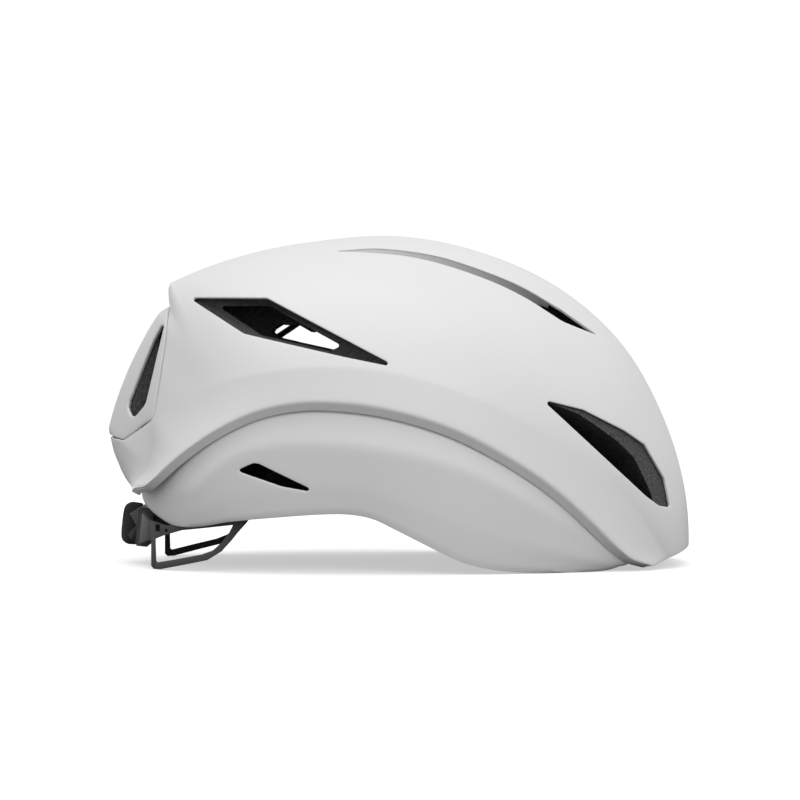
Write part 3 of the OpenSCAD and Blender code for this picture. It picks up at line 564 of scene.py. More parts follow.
def end_group(tree: Tree, results: dict[str, bpy.types.NodeSocket]) -> Tree:
    """Gives a shader node group its number outputs.

    Args:
        tree: the group's tree.
        results: sockets, by output.

    Returns:
        The tree.
    """
    for key in results:
        tree.interface.new_socket(key, in_out="OUTPUT", socket_type="NodeSocketFloat")
    add(tree, "NodeGroupOutput", results)
    return tree


@cache
def grain() -> Tree:
    """Fine moulded grain over slow cloudy variation.

    Returns:
        The node group.
    """
    tree, src = start_group("moulded_grain", {"Fine": 1500.0, "Slow": 18.0})
    fine, slow = (noise(tree, src["Vector"], src[key], detail) for key, detail in (("Fine", 3.0), ("Slow", 2.0)))
    return end_group(tree, {"Height": fine, "Cloud": slow})


@cache
def beads() -> Tree:
    """Fused foam beads: domed cells with dark joints and pin holes.

    Returns:
        The node group.
    """
    tree, src = start_group("fused_beads", {"Size": 420.0, "Fine": 2600.0})
    warp = add(tree, "TexNoise", {"Vector": src["Vector"], "Scale": 260.0}).outputs["Color"]
    bent = add(tree, "VectorMath", {0: warp, 1: (0.0012, 0.0012, 0.0012), 2: src["Vector"]},
               operation="MULTIPLY_ADD").outputs["Vector"]
    cell, joint = (add(tree, "TexVoronoi", {"Vector": bent, "Scale": src["Size"]}, feature=feature).outputs
                   for feature in ("F1", "DISTANCE_TO_EDGE"))
    fine = noise(tree, bent, src["Fine"])
    groove = add(tree, "MapRange", {"Value": joint["Distance"], "From Max": 0.12}).outputs["Result"]
    dome = maths(tree, "MULTIPLY", maths(tree, "SUBTRACT", 1.0, cell["Distance"]), groove)
    shade = add(tree, "SeparateColor", {"Color": cell["Color"]}).outputs["Red"]
    height = maths(tree, "ADD", dome, maths(tree, "MULTIPLY", fine, 0.35))
    return end_group(tree, {"Height": height, "Joint": groove, "Cell": shade})


@cache
def knit() -> Tree:
    """Brushed knit: two crossed sets of waves over fuzz, along the piece's own UV map.

    Returns:
        The node group.
    """
    tree, src = start_group("brushed_knit", {"Stitch": 900.0, "Fuzz": 3000.0})
    thread = {"Vector": src["Vector"], "Scale": src["Stitch"], "Distortion": 1.2, "Detail": 1.0}
    waves = [add(tree, "TexWave", thread, bands_direction=way).outputs["Fac"] for way in ("X", "Y")]
    fuzz = noise(tree, src["Vector"], src["Fuzz"], 4.0)
    weave = maths(tree, "MULTIPLY", *waves)
    height, tone = maths(tree, "ADD", weave, fuzz), maths(tree, "MULTIPLY", fuzz, weave)
    return end_group(tree, {"Height": height, "Tone": tone})


EFFECTS = {
    "grain": (grain, "Object", "Cloud"),
    "beads": (beads, "Object", "Cell"),
    "knit": (knit, "UV", "Tone"),
}


def grey(level: float, blue: float = 0.0) -> tuple[float, float, float]:
    """Grey, with a little more blue."""
    return level, level, level + blue


@dataclass(frozen=True)
class Finish:
    """One finish: a Principled surface whose tone, roughness and bump come from a shared effect, with an optional
    fade that paints shade along X.
    """

    name: str
    dark: tuple[float, float, float]
    light: tuple[float, float, float]
    roughness: tuple[float, float]
    effect: str = "grain"
    scales: tuple[float, float] = (1500.0, 18.0)
    bump: float = 0.05
    depth: float = 0.0002
    metallic: float = 0.0
    coat: float = 0.0
    sheen: float = 0.0
    # Painted shade: between the two X places of fade, in metres, the colour darkens towards the tone on the next
    # line.
    fade: tuple[float, float] | None = None
    painted_shade_tone: tuple[float, float, float] = grey(0.0)

    def material(self) -> bpy.types.Material:
        """Builds the material, or finds it again.

        Returns:
            The material.
        """
        made = bpy.data.materials.get(self.name)
        if made:
            return made
        made = bpy.data.materials.new(self.name)
        made.use_nodes = True
        tree = made.node_tree

        def blend(factor: object, a: object, b: object) -> bpy.types.NodeSocket:
            """Mixes two colours, which are sockets or values."""
            return add(tree, "Mix", {"Factor": factor, "A": a, "B": b}, data_type="RGBA").outputs["Result"]

        build, space, tone_name = EFFECTS[self.effect]
        place = add(tree, "TexCoord").outputs
        group = add(tree, "Group", {"Vector": place[space]}, node_tree=build())
        for socket, value in zip(list(group.inputs)[1:], self.scales):
            socket.default_value = value
        tone = group.outputs[tone_name]
        colour = blend(tone, (*self.dark, 1), (*self.light, 1))
        if self.effect == "beads":
            colour = blend(group.outputs["Joint"], (*(c * 0.35 for c in self.dark), 1), colour)
        # Painted shade: the colour darkens along the object's X towards the painted shade tone.
        if self.fade:
            x = add(tree, "SeparateXYZ", {"Vector": place["Object"]}).outputs["X"]
            along = add(tree, "MapRange", {"Value": x, "From Min": self.fade[0], "From Max": self.fade[1]})
            colour = blend(along.outputs["Result"], colour, (*self.painted_shade_tone, 1))
        low, high = self.roughness
        rough = add(tree, "MapRange", {"Value": tone, "To Min": low, "To Max": high})
        bump = add(tree, "Bump", {"Height": group.outputs["Height"], "Strength": self.bump,
                                  "Distance": self.depth})
        feed(tree.nodes["Principled BSDF"], {
            "Base Color": colour, "Roughness": rough.outputs["Result"], "Normal": bump.outputs["Normal"],
            "Metallic": self.metallic, "Coat Weight": self.coat, "Coat Roughness": 0.25,
            "Sheen Weight": self.sheen})
        return made

    def dress(self, piece: Piece) -> None:
        """Gives a piece this finish alone.

        Args:
            piece: the piece.
        """
        slots = piece.data.materials
        if piece.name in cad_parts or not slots:
            slots.clear()
            slots.append(self.material())
        for k in range(len(slots)):
            slots[k] = self.material()


SHELL_WHITE = Finish("satin_shell", grey(0.80), grey(0.83), (0.40, 0.47), bump=0.04, coat=0.12)
# Slot floors: grey that darkens to near black towards the front, and this darkening is painted shade of the slot's
# depth.
SLOT_SHADED_GREY = Finish("slot_floor_grey", grey(0.50), grey(0.56), (0.45, 0.55), fade=(-0.015, 0.070),
                   painted_shade_tone=grey(0.085, 0.002))
BEZEL_WHITE = Finish("satin_bezel", grey(0.74), grey(0.77), (0.44, 0.52))
FOAM_GREY = Finish("bead_foam", grey(0.066, 0.002), grey(0.104, 0.003), (0.62, 0.85), "beads", (620.0, 3200.0),
                   0.4, 0.0004)
PAD_BLACK = Finish("pad_knit", grey(0.010, 0.001), grey(0.030, 0.002), (0.85, 0.95), "knit", (700.0, 2200.0),
                   0.6, 0.0003, sheen=0.35)
HOOK_BLACK = Finish("hook_tape", grey(0.008), grey(0.022), (0.7, 0.9), "beads", (1800.0, 4000.0), 0.9, 0.0004)
CRADLE_GREY = Finish("cradle_nylon", grey(0.072, 0.003), grey(0.092, 0.003), (0.46, 0.56), bump=0.22)
ARM_GREY = Finish("arm_nylon", grey(0.066, 0.003), grey(0.084, 0.003), (0.42, 0.54), bump=0.18)
KNOB_BLACK = Finish("knob_rubber", grey(0.028, 0.001), grey(0.044, 0.002), (0.55, 0.68), bump=0.3,
                    scales=(2600.0, 60.0))
GEAR_PALE = Finish("gear_acetal", grey(0.30), grey(0.36), (0.32, 0.42), bump=0.1)
STEEL = Finish("zinc_steel", grey(0.50), grey(0.62), (0.26, 0.38), metallic=1.0, bump=0.15,
               scales=(4000.0, 90.0))
ANCHOR_BLACK = Finish("anchor_nylon", grey(0.020, 0.001), grey(0.032, 0.001), (0.42, 0.55), bump=0.2)


def finished(piece: Piece, finish: Finish, node: str = "", body: Body = Body.HELMET) -> Piece:
    """Dresses a piece and enters it.

    Args:
        piece: the piece.
        finish: its finish.
        node: the CAD node that it stands for, if any.
        body: the body that it rides on.

    Returns:
        The piece.
    """
    finish.dress(piece)
    if node:
        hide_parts(node)
    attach(piece, body.value)
    return piece


# ---------------------------------------------------------------- the upper shell's surface


@dataclass
class UpperForm:
    """Surface of the upper shell: hoops about a line under the helmet, from the brow to the tail.

    Its flat pattern has the angle times the reference radius, and the distance above the crease.
    """

    width: float = 208.0
    widest: float = -20.0
    reach: tuple[float, float] = (165.0, 125.0)
    power: tuple[float, float] = (2.3, 2.2)
    bevel: float = 4.5
    bevel_rise: float = 0.9
    hub: tuple[float, float] = (-5.0, -40.0)
    crest: Outline = ((145, 10), (143.5, 34), (131, 76), (111, 110), (81, 136.6), (41, 155), (1, 162.8),
                      (-39, 160.6), (-69, 155.4), (-113.5, 139.6))
    tail: Outline = ((-113.5, 139.6), (-114.6, 137), (-113.8, 128), (-119, 125), (-126, 114), (-144.8, 67.6),
                     (-142, 55), (-139.6, 49.6), (-138.2, 45.8), (-136.4, 42.9), (-135.2, 41.6))
    crease: Outline = ((131, 5), (121.5, 19.4), (106.2, 39.3), (81.6, 59.3), (55.2, 75.2), (29.2, 86.8), (1, 95.1),
                       (-27.2, 98.1), (-50.7, 97.4), (-74.4, 93.1), (-96.3, 85.4), (-117, 72.7), (-119.5, 58),
                       (-122, 48), (-129, 41))
    arc: Outline = ((126, 1), (112.2, 6.1), (96.2, 20.6), (74.3, 40.6), (50.4, 56.7), (26.8, 68.8), (1, 77.1),
                    (-24.8, 81.3), (-45.9, 81.6), (-66.2, 77.6), (-85.4, 69), (-107.1, 53.9), (-121.4, 41.4),
                    (-128, 39.6))
    narrowing: Outline = ((-135, 0.6), (-118, 0.7), (-100, 0.84), (-80, 0.93), (-50, 0.97), (130, 0.97))
    slant: Outline = ((18, 0.35), (40, 0.5), (90, 0.55), (112, 0.64), (121, 0.92), (127, 1.25), (133, 1.42),
                      (148, 1.5))
    lip_fade: float = 6.0
    first: float = 18.435
    last: float = 147.7
    reference: float = 165.0
    columns: int = 160
    skirt_columns: int = 48

    def __post_init__(self) -> None:
        """Sets the hoops' angles and fills the tables."""
        self.centre = np.array([self.hub[0], 0, self.hub[1]])
        self.corner = self.polar(self.tail)[0][0]
        self.angles = np.unique(np.concatenate([
            np.linspace(self.first, self.corner, 620), np.linspace(self.corner, self.corner + 5, 90),
            np.linspace(self.corner + 5, self.last, 200)]))
        self.table()

    def polar(self, line: Outline) -> Points:
        """Angle and distance of points from the hub."""
        x, z = (np.asarray(line, float) - self.hub).T
        return np.column_stack([np.degrees(np.arctan2(z, x)), np.hypot(x, z)])

    def flank(self, x: Points) -> Points:
        """Half width of the flanks at a station.

        Args:
            x: stations along the helmet.

        Returns:
            Half widths.
        """
        d = x - self.widest
        reach, power = (np.where(d > 0, *pair) for pair in (self.reach, self.power))
        return self.width / 2 * np.maximum(0.001, 1 - np.minimum(1, np.abs(d) / reach) ** power) ** (1 / power)

    def table(self) -> None:
        """Works out every hoop's profile, softens its corners and divides it evenly."""
        a, at_arc, at_crease = self.angles, 8, 24
        soft_tail = self.polar(rounded(self.tail, 1.6, closed=False, steps=7))
        top = np.where(a <= self.corner, curve(self.polar(self.crest), a), np.interp(a, *soft_tail.T))
        crease = np.minimum(curve(self.polar(self.crease), a), top - 4)
        arc = np.minimum(curve(self.polar(self.arc), a), crease - 2)
        broad = sum(np.interp(a + o, a, top) for o in np.linspace(-4.5, 4.5, 19)) / 19
        soft = mix(top, broad, np.exp(-((a - self.corner - 0.5) / 6.0) ** 4))
        crease_x, arc_x = (self.hub[0] + r * np.cos(np.radians(a)) for r in (crease, arc))
        crease_y, arc_y = self.flank(crease_x) * curve(self.narrowing, crease_x), self.flank(arc_x)
        drop = np.linspace(1, 0, at_arc + 1)[:, None]
        climb = np.linspace(0, 1, at_crease - at_arc + 1)[1:, None]
        k, v = curve(self.slant, a), np.linspace(0, 1, 220)[1:, None] ** 1.4
        s2 = 2 * v - v * v
        u = 2 * s2 / (k + np.sqrt(k * k + 4 * (1 - k) * s2))
        dome = mix(crease, soft, u) + (top - soft) * u ** self.lip_fade
        r = np.vstack([arc - self.bevel * self.bevel_rise * drop, mix(arc, crease, climb), dome]).T
        y = np.vstack([arc_y - self.bevel * drop, mix(arc_y, crease_y, climb), crease_y * (1 - v)]).T
        runs = np.cumsum(np.hypot(np.diff(r, prepend=r[:, :1]), np.diff(y, prepend=y[:, :1])), axis=1)
        self.low, self.mid, self.high = (
            run - runs[:, at_crease] for run in (runs[:, 0], runs[:, at_arc], runs[:, -1]))
        self.skirt = np.empty((len(a), self.skirt_columns + 1, 2))
        self.dome = np.empty((len(a), self.columns + 1, 2))
        for i, run in enumerate(runs):
            reach = np.minimum(0.9, np.minimum(run, run[-1] - run))
            near = np.minimum(np.abs(run - run[at_arc]), np.abs(run - run[at_crease])) < 3
            for values in (r, y):
                eased = sum(np.interp(run + reach * o, run, values[i]) for o in (-1, -0.5, 0, 0.5, 1)) / 5
                values[i] = np.where(near, eased, values[i])
            for grid, end in ((self.skirt, 0), (self.dome, run[-1])):
                even = np.linspace(run[at_crease], end, grid.shape[1])
                grid[i] = np.column_stack([np.interp(even, run, values[i]) for values in (r, y)])
        self.dome[:, -1, 1] = 0

    def levels(self, angle: float) -> list[float]:
        """Foot, arc and crest of the hoop at an angle, from the crease."""
        return [float(np.interp(angle, self.angles, t)) for t in (self.low, self.mid, self.high)]

    def place(self, flat: Points) -> Points:
        """Points of the right half, from places on its flat pattern.

        Args:
            flat: places on the flat pattern.

        Returns:
            The points.
        """
        a = np.clip(np.degrees(flat[:, 0] / self.reference), self.first, self.last)
        i = np.clip(np.searchsorted(self.angles, a) - 1, 0, len(self.angles) - 2)
        f = (a - self.angles[i]) / (self.angles[i + 1] - self.angles[i])
        got = []
        for grid, most in ((self.dome, self.high), (self.skirt, self.low)):
            share = flat[:, 1] / mix(most[i], most[i + 1], f)
            got.append(bilinear(grid, i, f, np.clip(share * (grid.shape[1] - 1), 0, None)))
        r, y = np.where(flat[:, 1:] >= 0, *got).T
        turn = np.radians(a)
        return np.column_stack([self.hub[0] + r * np.cos(turn), -y, self.hub[1] + r * np.sin(turn)])

    def normal(self, flat: Points) -> Points:
        """Outward normals of the right half at places on its flat pattern."""
        out = np.cross(*(self.place(flat + step) - self.place(flat - step) for step in ([0.5, 0], [0, 0.5])))
        return unit(out * np.sign(np.sum(out * (self.place(flat) - self.centre), axis=1, keepdims=True)))

    def locate(self, side_view: Points) -> Points:
        """Places on the flat pattern of points given in side view.

        Args:
            side_view: points in side view.

        Returns:
            Places on the flat pattern.
        """
        out = []
        for a, r in self.polar(side_view):
            i = int(np.clip(np.searchsorted(self.angles, a) - 1, 0, len(self.angles) - 2))
            dome, skirt = self.dome[i, :, 0], self.skirt[i, :, 0]
            if r >= dome[0]:
                q = np.interp(r, dome, np.linspace(0, self.high[i], len(dome))) + max(0.0, r - dome[-1]) * 3
            else:
                q = np.interp(-r, -skirt, np.linspace(0, self.low[i], len(skirt)))
            out.append((math.radians(a) * self.reference, q))
        return np.array(out)

    def lattice(self) -> Points:
        """Inner points of the flat pattern, closer together at the creases and round the tail.

        Returns:
            Places on the flat pattern.
        """
        rows = []
        for angle in (*np.linspace(self.first, self.corner - 1, 122),
                      *np.linspace(self.corner - 0.6, self.corner + 4.4, 26),
                      *np.linspace(self.corner + 5, self.last, 34)):
            low, mid, high = self.levels(angle)
            q = [o for o in (0, 0.6, 1.3, 2.2, 3.6) if o < high] + [*np.arange(6, high - 1.2, 2.7), high]
            q += [-o for o in (0.6, 1.3, 2.2) if o < -mid * 0.5]
            q += [mid + o for o in (-1.6, -0.8, 0, 0.8, 1.6) if low < mid + o < -0.3]
            q += [*np.arange(mid + 3.4, -3.4, 2.7), low, (low + mid) / 2]
            rows += [(math.radians(angle) * self.reference, v) for v in q]
        return np.array(rows)

    def border(self) -> Points:
        """Ring round the flat pattern of the right half.

        Returns:
            Places on the flat pattern.
        """
        along = np.radians(self.angles) * self.reference
        low, high = (np.column_stack([along, t]) for t in (self.low, self.high))
        rear, front = np.linspace(low[-1], high[-1], 30)[1:-1], np.linspace(high[0], low[0], 30)[1:-1]
        return np.vstack([spaced(low, 2.0, closed=False), rear, spaced(high[::-1], 2.0, closed=False), front])


def cut_pattern(border: Points, lattice: Points, holes: Sequence[Points], keep: Points | None = None,
                clear: float = 0.9) -> tuple[Points, Points]:
    """Triangles of a flat pattern with holes.

    Args:
        border: ring round the pattern.
        lattice: inner points.
        holes: rings that are left out.
        keep: ring outside which everything is left out.
        clear: inner points nearer than this to a ring are dropped.

    Returns:
        Flat points and triangles.
    """
    within = [border] if keep is None else [border, keep]
    verts, edges = [], []
    for ring in (border, *holes, *within[1:]):
        start, n = len(verts), len(ring)
        verts += [tuple(p) for p in ring]
        edges += [(start + k, start + (k + 1) % n) for k in range(n)]
    tree = nearest(verts)
    free = [tuple(p) for p in lattice[inside(lattice, border)] if tree.find((*p, 0))[2] > clear]
    found = delaunay_2d_cdt([Vector(p) for p in verts + free], edges, [], 0, 1e-6, False)
    flat = np.array([tuple(v) for v in found[0]])
    tris = np.array([t for t in found[2] if len(t) == 3])
    middle = flat[tris].mean(axis=1)
    good = ~np.any([inside(middle, hole) for hole in holes], axis=0)
    for ring in within:
        good &= inside(middle, ring)
    area = facing(np.column_stack([flat, 0 * flat[:, 0]]), tris)[:, 2]
    tris[area < 0] = tris[area < 0][:, ::-1]
    used, tris = np.unique(tris[good & (np.abs(area) > 1e-7)], return_inverse=True)
    return flat[used], tris.reshape(-1, 3)


def both_halves(verts: Points, tris: Points) -> tuple[Points, Points]:
    """Adds the mirror image of a right half and joins the two on the middle plane.

    Args:
        verts: points of the right half.
        tris: its triangles.

    Returns:
        Points and triangles of the two halves.
    """
    off = np.flatnonzero(np.abs(verts[:, 1]) >= 1e-4)
    twin = np.arange(len(verts))
    twin[off] = len(verts) + np.arange(len(off))
    return np.vstack([verts, verts[off] * MIRROR]), np.vstack([tris, twin[tris][:, ::-1]])


@dataclass
class UpperShell:
    """White outer skin with its vents, the grey floors of its slots with painted shade darkening them towards the
    front, and the bezel let into its tail.
    """

    form: UpperForm
    wall: float = 1.6
    bezel_wall: float = 2.2
    edge: float = 0.55
    bezel_edge: float = 0.9
    seam: float = 0.5
    spine: float = 18.0
    ramp_end: float = 74.0
    ramp_taper: float = 60.0
    ramp_gap: float = 0.4
    ramp_foot: tuple[float, float] = (1.0, 2.6)
    ramp_head: tuple[float, float] = (0.45, 0.9)
    side_vent: Outline = ((-98.6, 130.9), (-63, 130.4), (-5.7, 100.2), (-25.4, 104.2), (-72.8, 115), (-92.6, 127.6))
    front_vent: Outline = ((72, 81), (88.1, 77), (108.8, 66.7), (118.8, 60), (128.8, 43.4), (131.3, 31),
                           (126.9, 31.8), (120.3, 36.6), (92.3, 65.8), (76, 77.6))
    port: Outline = ((-116.4, 117.4), (-124.5, 81), (-125.3, 79.4), (-129.9, 74.9), (-131.1, 75.2), (-132.8, 78.4),
                     (-132.3, 80.6), (-119.9, 111.2))
    vent_round: float = 1.0
    slot_line: Outline = ((-29, 154.6, 0.3), (-12.4, 154.7, 1.35), (4.5, 153.2, 1.5), (22.3, 149.5, 1.95),
                          (45.6, 141.5, 2.1), (61.9, 134, 2.55), (80, 123, 3), (97, 113.8, 0.3))
    bezel_face: Outline = ((-112.9, 128.6), (-113.4, 109.6), (-115.8, 92.1), (-118.2, 75.3), (-119.8, 72.4),
                           (-135.6, 61.6), (-160, 66), (-160, 128.6))

    def slot_at(self, x: Points) -> tuple[Points, Points]:
        """Middle height and half width of the slot beside the crest."""
        return curve(self.slot_line, x), np.interp(x, *np.transpose(self.slot_line)[[0, 2]])

    def slot_ring(self) -> Points:
        """Ring of the slot in side view.

        Returns:
            The ring.
        """
        x = np.linspace(self.slot_line[0][0], self.slot_line[-1][0], 70)
        z, half = self.slot_at(x)
        return np.vstack([np.column_stack([x, z + half]), np.column_stack([x, z - half])[::-1]])

    def slot_ramp(self) -> tuple[Points, list]:
        """Floor of the right slot: it falls away under the slot's upper edge and ends before the slot does.

        Returns:
            Points and faces of its closed wall.
        """
        x = np.linspace(self.slot_line[0][0] + 2, self.ramp_end, 60)
        z, half = self.slot_at(x)
        closing = ease((x - self.ramp_taper) / (x[-1] - self.ramp_taper))
        low = self.form.locate(np.column_stack([x, z - half - 0.6 + closing * (2 * half - self.ramp_gap)]))
        high = self.form.locate(np.column_stack([x, z + half - np.minimum(self.ramp_gap, half * 0.7)]))
        along = ease((x - x[0]) / (x[-1] - x[0]))
        foot, head = mix(*self.ramp_foot, along), mix(*self.ramp_head, along)
        rows = []
        for t in np.linspace(0, 1, 7):
            flat = mix(low, high, t)
            rows.append(self.form.place(flat) - self.form.normal(flat) * mix(foot, head, t ** 0.8)[:, None])
        n, verts = len(x), np.vstack(rows)
        cells = [i * n + j for i in range(len(rows) - 1) for j in range(n - 1)]
        tris = np.array([t for a in cells for t in ((a, a + 1, a + n), (a + 1, a + n + 1, a + n))])
        return closed_skin(verts, outwards(verts, tris, self.form.centre), 0.8, 0.15, 2)

    def ring(self, outline: Points, grow: float) -> Points:
        """Grown ring on the flat pattern, from an outline in side view."""
        return grown(spaced(self.form.locate(spaced(outline, 0.5)), 0.8), grow)

    def skin(self, name: str, wall: float, edge: float, holes: Sequence[Points],
             keep: Points | None = None) -> Piece:
        """Part of the form's surface, both halves, as a closed wall.

        Args:
            name: the piece's name.
            wall: its thickness.
            edge: radius of its outer edges.
            holes: rings on the flat pattern that are left out.
            keep: ring outside which everything is left out.

        Returns:
            The piece.
        """
        flat, tris = cut_pattern(self.form.border(), self.form.lattice(), holes, keep)
        half = self.form.place(flat)
        both = both_halves(half, outwards(half, tris, self.form.centre))
        return mesh_piece(name, *closed_skin(*both, wall, edge))

    def build(self) -> list[Piece]:
        """Makes the shell, the slots' floors and the bezel.

        Returns:
            The pieces.
        """
        edge, rim, swell = self.edge, self.bezel_edge, self.vent_round
        face = self.ring(rounded(self.bezel_face, 1.2), 0)
        holes = [*(self.ring(swollen(vent, swell), edge) for vent in (self.side_vent, self.front_vent)),
                 self.ring(self.slot_ring(), edge * 0.6), grown(face, self.seam / 2 + edge * 0.5)]
        shell = self.skin("shell_upper", self.wall, edge, holes)
        ramp, faces = self.slot_ramp()
        twins = [tuple(len(ramp) + k for k in face[::-1]) for face in faces]
        floors = mesh_piece("slot_floors", np.vstack([ramp, ramp * MIRROR]), faces + twins)
        port = self.ring(swollen(self.port, swell), rim)
        bezel = self.skin("tail_bezel", self.bezel_wall, rim, [port], grown(face, -self.seam / 2 - rim))
        return [finished(shell, SHELL_WHITE, "upper_shell"),
                finished(floors, SLOT_SHADED_GREY),
                finished(bezel, BEZEL_WHITE, "rear_bezel")]


# ---------------------------------------------------------------- the lower shell's surface

BELT_CENTRE = (0, 0, 30)


@dataclass
class LowerShell:
    """White skin that wraps the foam under the arc.

    Its flat pattern has the length along the belt from the front, and the depth below its top.
    """

    form: UpperForm
    wall: float = 1.6
    gap: float = 0.4
    lip: float = 2.5
    edge: float = 0.6
    top: Outline = ((-129.5, 42.5), (-117.6, 42.6), (-105.6, 51.4), (-90.8, 61.7), (-74.6, 70), (-58.7, 75.2),
                    (-35, 77.6), (-11.6, 76.1), (4.2, 72.9), (19.8, 68.3), (35.6, 62), (51.4, 53.5), (67.3, 43.1),
                    (83.4, 30.5), (94.9, 19.5), (103.2, 10.8), (110, 5))
    crease: Outline = ((-129.5, 35), (-123, 34), (-116, 34.5), (-96.3, 40.8), (-86, 50), (-74.5, 57.6),
                       (-58.6, 61.6), (-47.5, 62.8), (-19.3, 60.9), (11.9, 55.5), (40.2, 45.9), (76.8, 25.7),
                       (96.4, 11.9), (110, 3.5))
    rim: Outline = ((-129.5, 31.5), (-126, 28.8), (-123, 27), (-120.6, 25.4), (-115, 22.5), (-110, 21),
                    (-105, 20.6), (-96, 21.6), (-83, 24), (-51, 27), (-35, 28), (-22.6, 27.9), (-11.6, 25.7),
                    (-0.6, 20.5), (12, 14.1), (24.7, 7.8), (32.6, 4.5), (43.7, 1.8), (59.6, 0), (75, -0.6),
                    (92, -0.6), (105, 0.2), (110, 2))
    vent: Outline = ((-74, 49.4), (-68.2, 51.9), (-66, 51.6), (-43, 40.6), (-54.6, 42.7), (-73, 48.9))
    vent_round: float = 1.0
    front_x: float = 115.0
    waist_x: float = -20.0
    nape_x: float = -129.5
    waist: float = 0.6
    nape_power: float = 2.4
    nape_from: float = -84.0
    nape_over: float = 42.0
    rows: int = 260
    columns: int = 60

    def plan(self, t: Points) -> tuple[Points, Points]:
        """Plan position and outward direction along the belt, t from the front to the nape.

        Args:
            t: shares of the belt.

        Returns:
            Plan positions and outward directions.
        """
        inset = self.form.bevel + self.wall + self.gap

        def point(s: Points) -> Points:
            """Plan position at s.

            Args:
                s: shares of the belt.

            Returns:
                Plan positions.
            """
            x = mix(self.front_x, self.waist_x, np.sin(np.radians(90 * np.minimum(1, s / self.waist))))
            slope = self.form.flank(x - 0.5) - self.form.flank(x + 0.5)
            size = np.hypot(slope, 1)
            front = np.column_stack([x - inset * slope / size, self.form.flank(x) - inset / size])
            turn, power = np.radians(90 * (s - self.waist) / (1 - self.waist)), 2 / self.nape_power
            back = np.column_stack([
                mix(self.waist_x, self.nape_x, np.abs(np.sin(turn)) ** power),
                (self.form.width / 2 - inset) * np.maximum(0, np.cos(turn)) ** power])
            return np.where((s < self.waist)[:, None], front, back)

        along = unit(point(np.minimum(t + 0.004, 1)) - point(t - 0.004))
        out = np.column_stack([along[:, 1], -along[:, 0]])
        out[t >= 1] = [-1, 0]
        return point(t), out

    def __post_init__(self) -> None:
        """Fills the grid of the belt, evenly along each upright profile."""
        ahead = self.rows // 2
        p, out = self.plan(np.concatenate([np.linspace(0, self.waist, ahead, endpoint=False),
                                           np.linspace(self.waist, 1, self.rows - ahead)]))
        x = p[:, 0]
        back = ease((self.nape_from - x) / self.nape_over)
        bulge, tuck = np.interp(x, [55, 90], [-2.2, 0]), mix(5.0, 3.2, back)
        top, mid, low = (curve(k, x) for k in (self.top, self.crease, self.rim))
        inset = np.column_stack([2.6 + 0 * x, 0.4 + 0 * x, mix(bulge, 2, back), mix(1.5, 2.4, back), tuck,
                                 tuck + self.lip])
        height = np.column_stack([top + 3.5, top, mid, mix(mid, low, 0.6), low, low + 1])
        rows, runs = [], []
        for profile, at, away in zip(np.stack([inset, height], -1), p, out):
            line = rounded(profile, 2.2, closed=False, steps=5)
            run = run_of(line)
            d, z = (np.interp(np.linspace(0, run[-1], self.columns + 1), run, column) for column in line.T)
            rows.append(np.column_stack([at[0] - away[0] * d, away[1] * d - at[1], z]))
            runs.append(run[-1])
        self.grid = np.array(rows)
        self.grid[-1, :, 1] = 0
        self.length = run_of(self.grid[:, self.columns // 2])
        self.depth = float(max(runs))

    def place(self, flat: Points) -> Points:
        """Points of the right half, from places on its flat pattern.

        Args:
            flat: places on the flat pattern.

        Returns:
            The points.
        """
        i = np.clip(np.searchsorted(self.length, flat[:, 0]) - 1, 0, len(self.length) - 2)
        f = np.clip((flat[:, 0] - self.length[i]) / (self.length[i + 1] - self.length[i]), 0, 1)
        return bilinear(self.grid, i, f, np.clip(flat[:, 1] / self.depth * self.columns, 0, self.columns))

    def locate(self, side_view: Points) -> Points:
        """Places on the flat pattern of points given in side view.

        Args:
            side_view: points in side view.

        Returns:
            Places on the flat pattern.
        """
        fine = np.array(list(product(np.linspace(0, self.length[-1], 900),
                                     np.linspace(self.depth * 0.08, self.depth * 0.92, 160))))
        tree = nearest(self.place(fine)[:, [0, 2]])
        out = []
        for p in side_view:
            near = tree.find_n((*p, 0), 4)
            weight = np.array([1 / (1e-4 + n[2]) ** 2 for n in near])
            out.append((fine[[n[1] for n in near]] * weight[:, None]).sum(axis=0) / weight.sum())
        return np.array(out)

    def build(self) -> list[Piece]:
        """Makes the lower shell.

        Returns:
            The pieces.
        """
        lengths, shares = np.linspace(0, self.length[-1], 150), np.linspace(0, self.depth, 27)
        lattice = np.array([*product(lengths[1:-1], shares[1:-1]), *product(lengths[-1:], shares)])
        border = np.vstack([
            [(a, 0) for a in lengths], [(lengths[-1], b) for b in shares[1:-1]],
            [(a, self.depth) for a in lengths[::-1]], [(0, b) for b in shares[-2:0:-1]]])
        vent = grown(spaced(self.locate(spaced(swollen(self.vent, self.vent_round), 0.5)), 0.8), self.edge)
        flat, tris = cut_pattern(border, lattice, [vent], clear=0.7)
        half = self.place(flat)
        verts, tris = both_halves(half, outwards(half, tris, BELT_CENTRE))
        verts[:, 2] = np.maximum(verts[:, 2], 0.02)
        shell = mesh_piece("shell_lower", *closed_skin(verts, tris, self.wall, self.edge))
        floor_cut(shell)
        return [finished(shell, SHELL_WHITE, "lower_shell")]


# ---------------------------------------------------------------- foam and pads


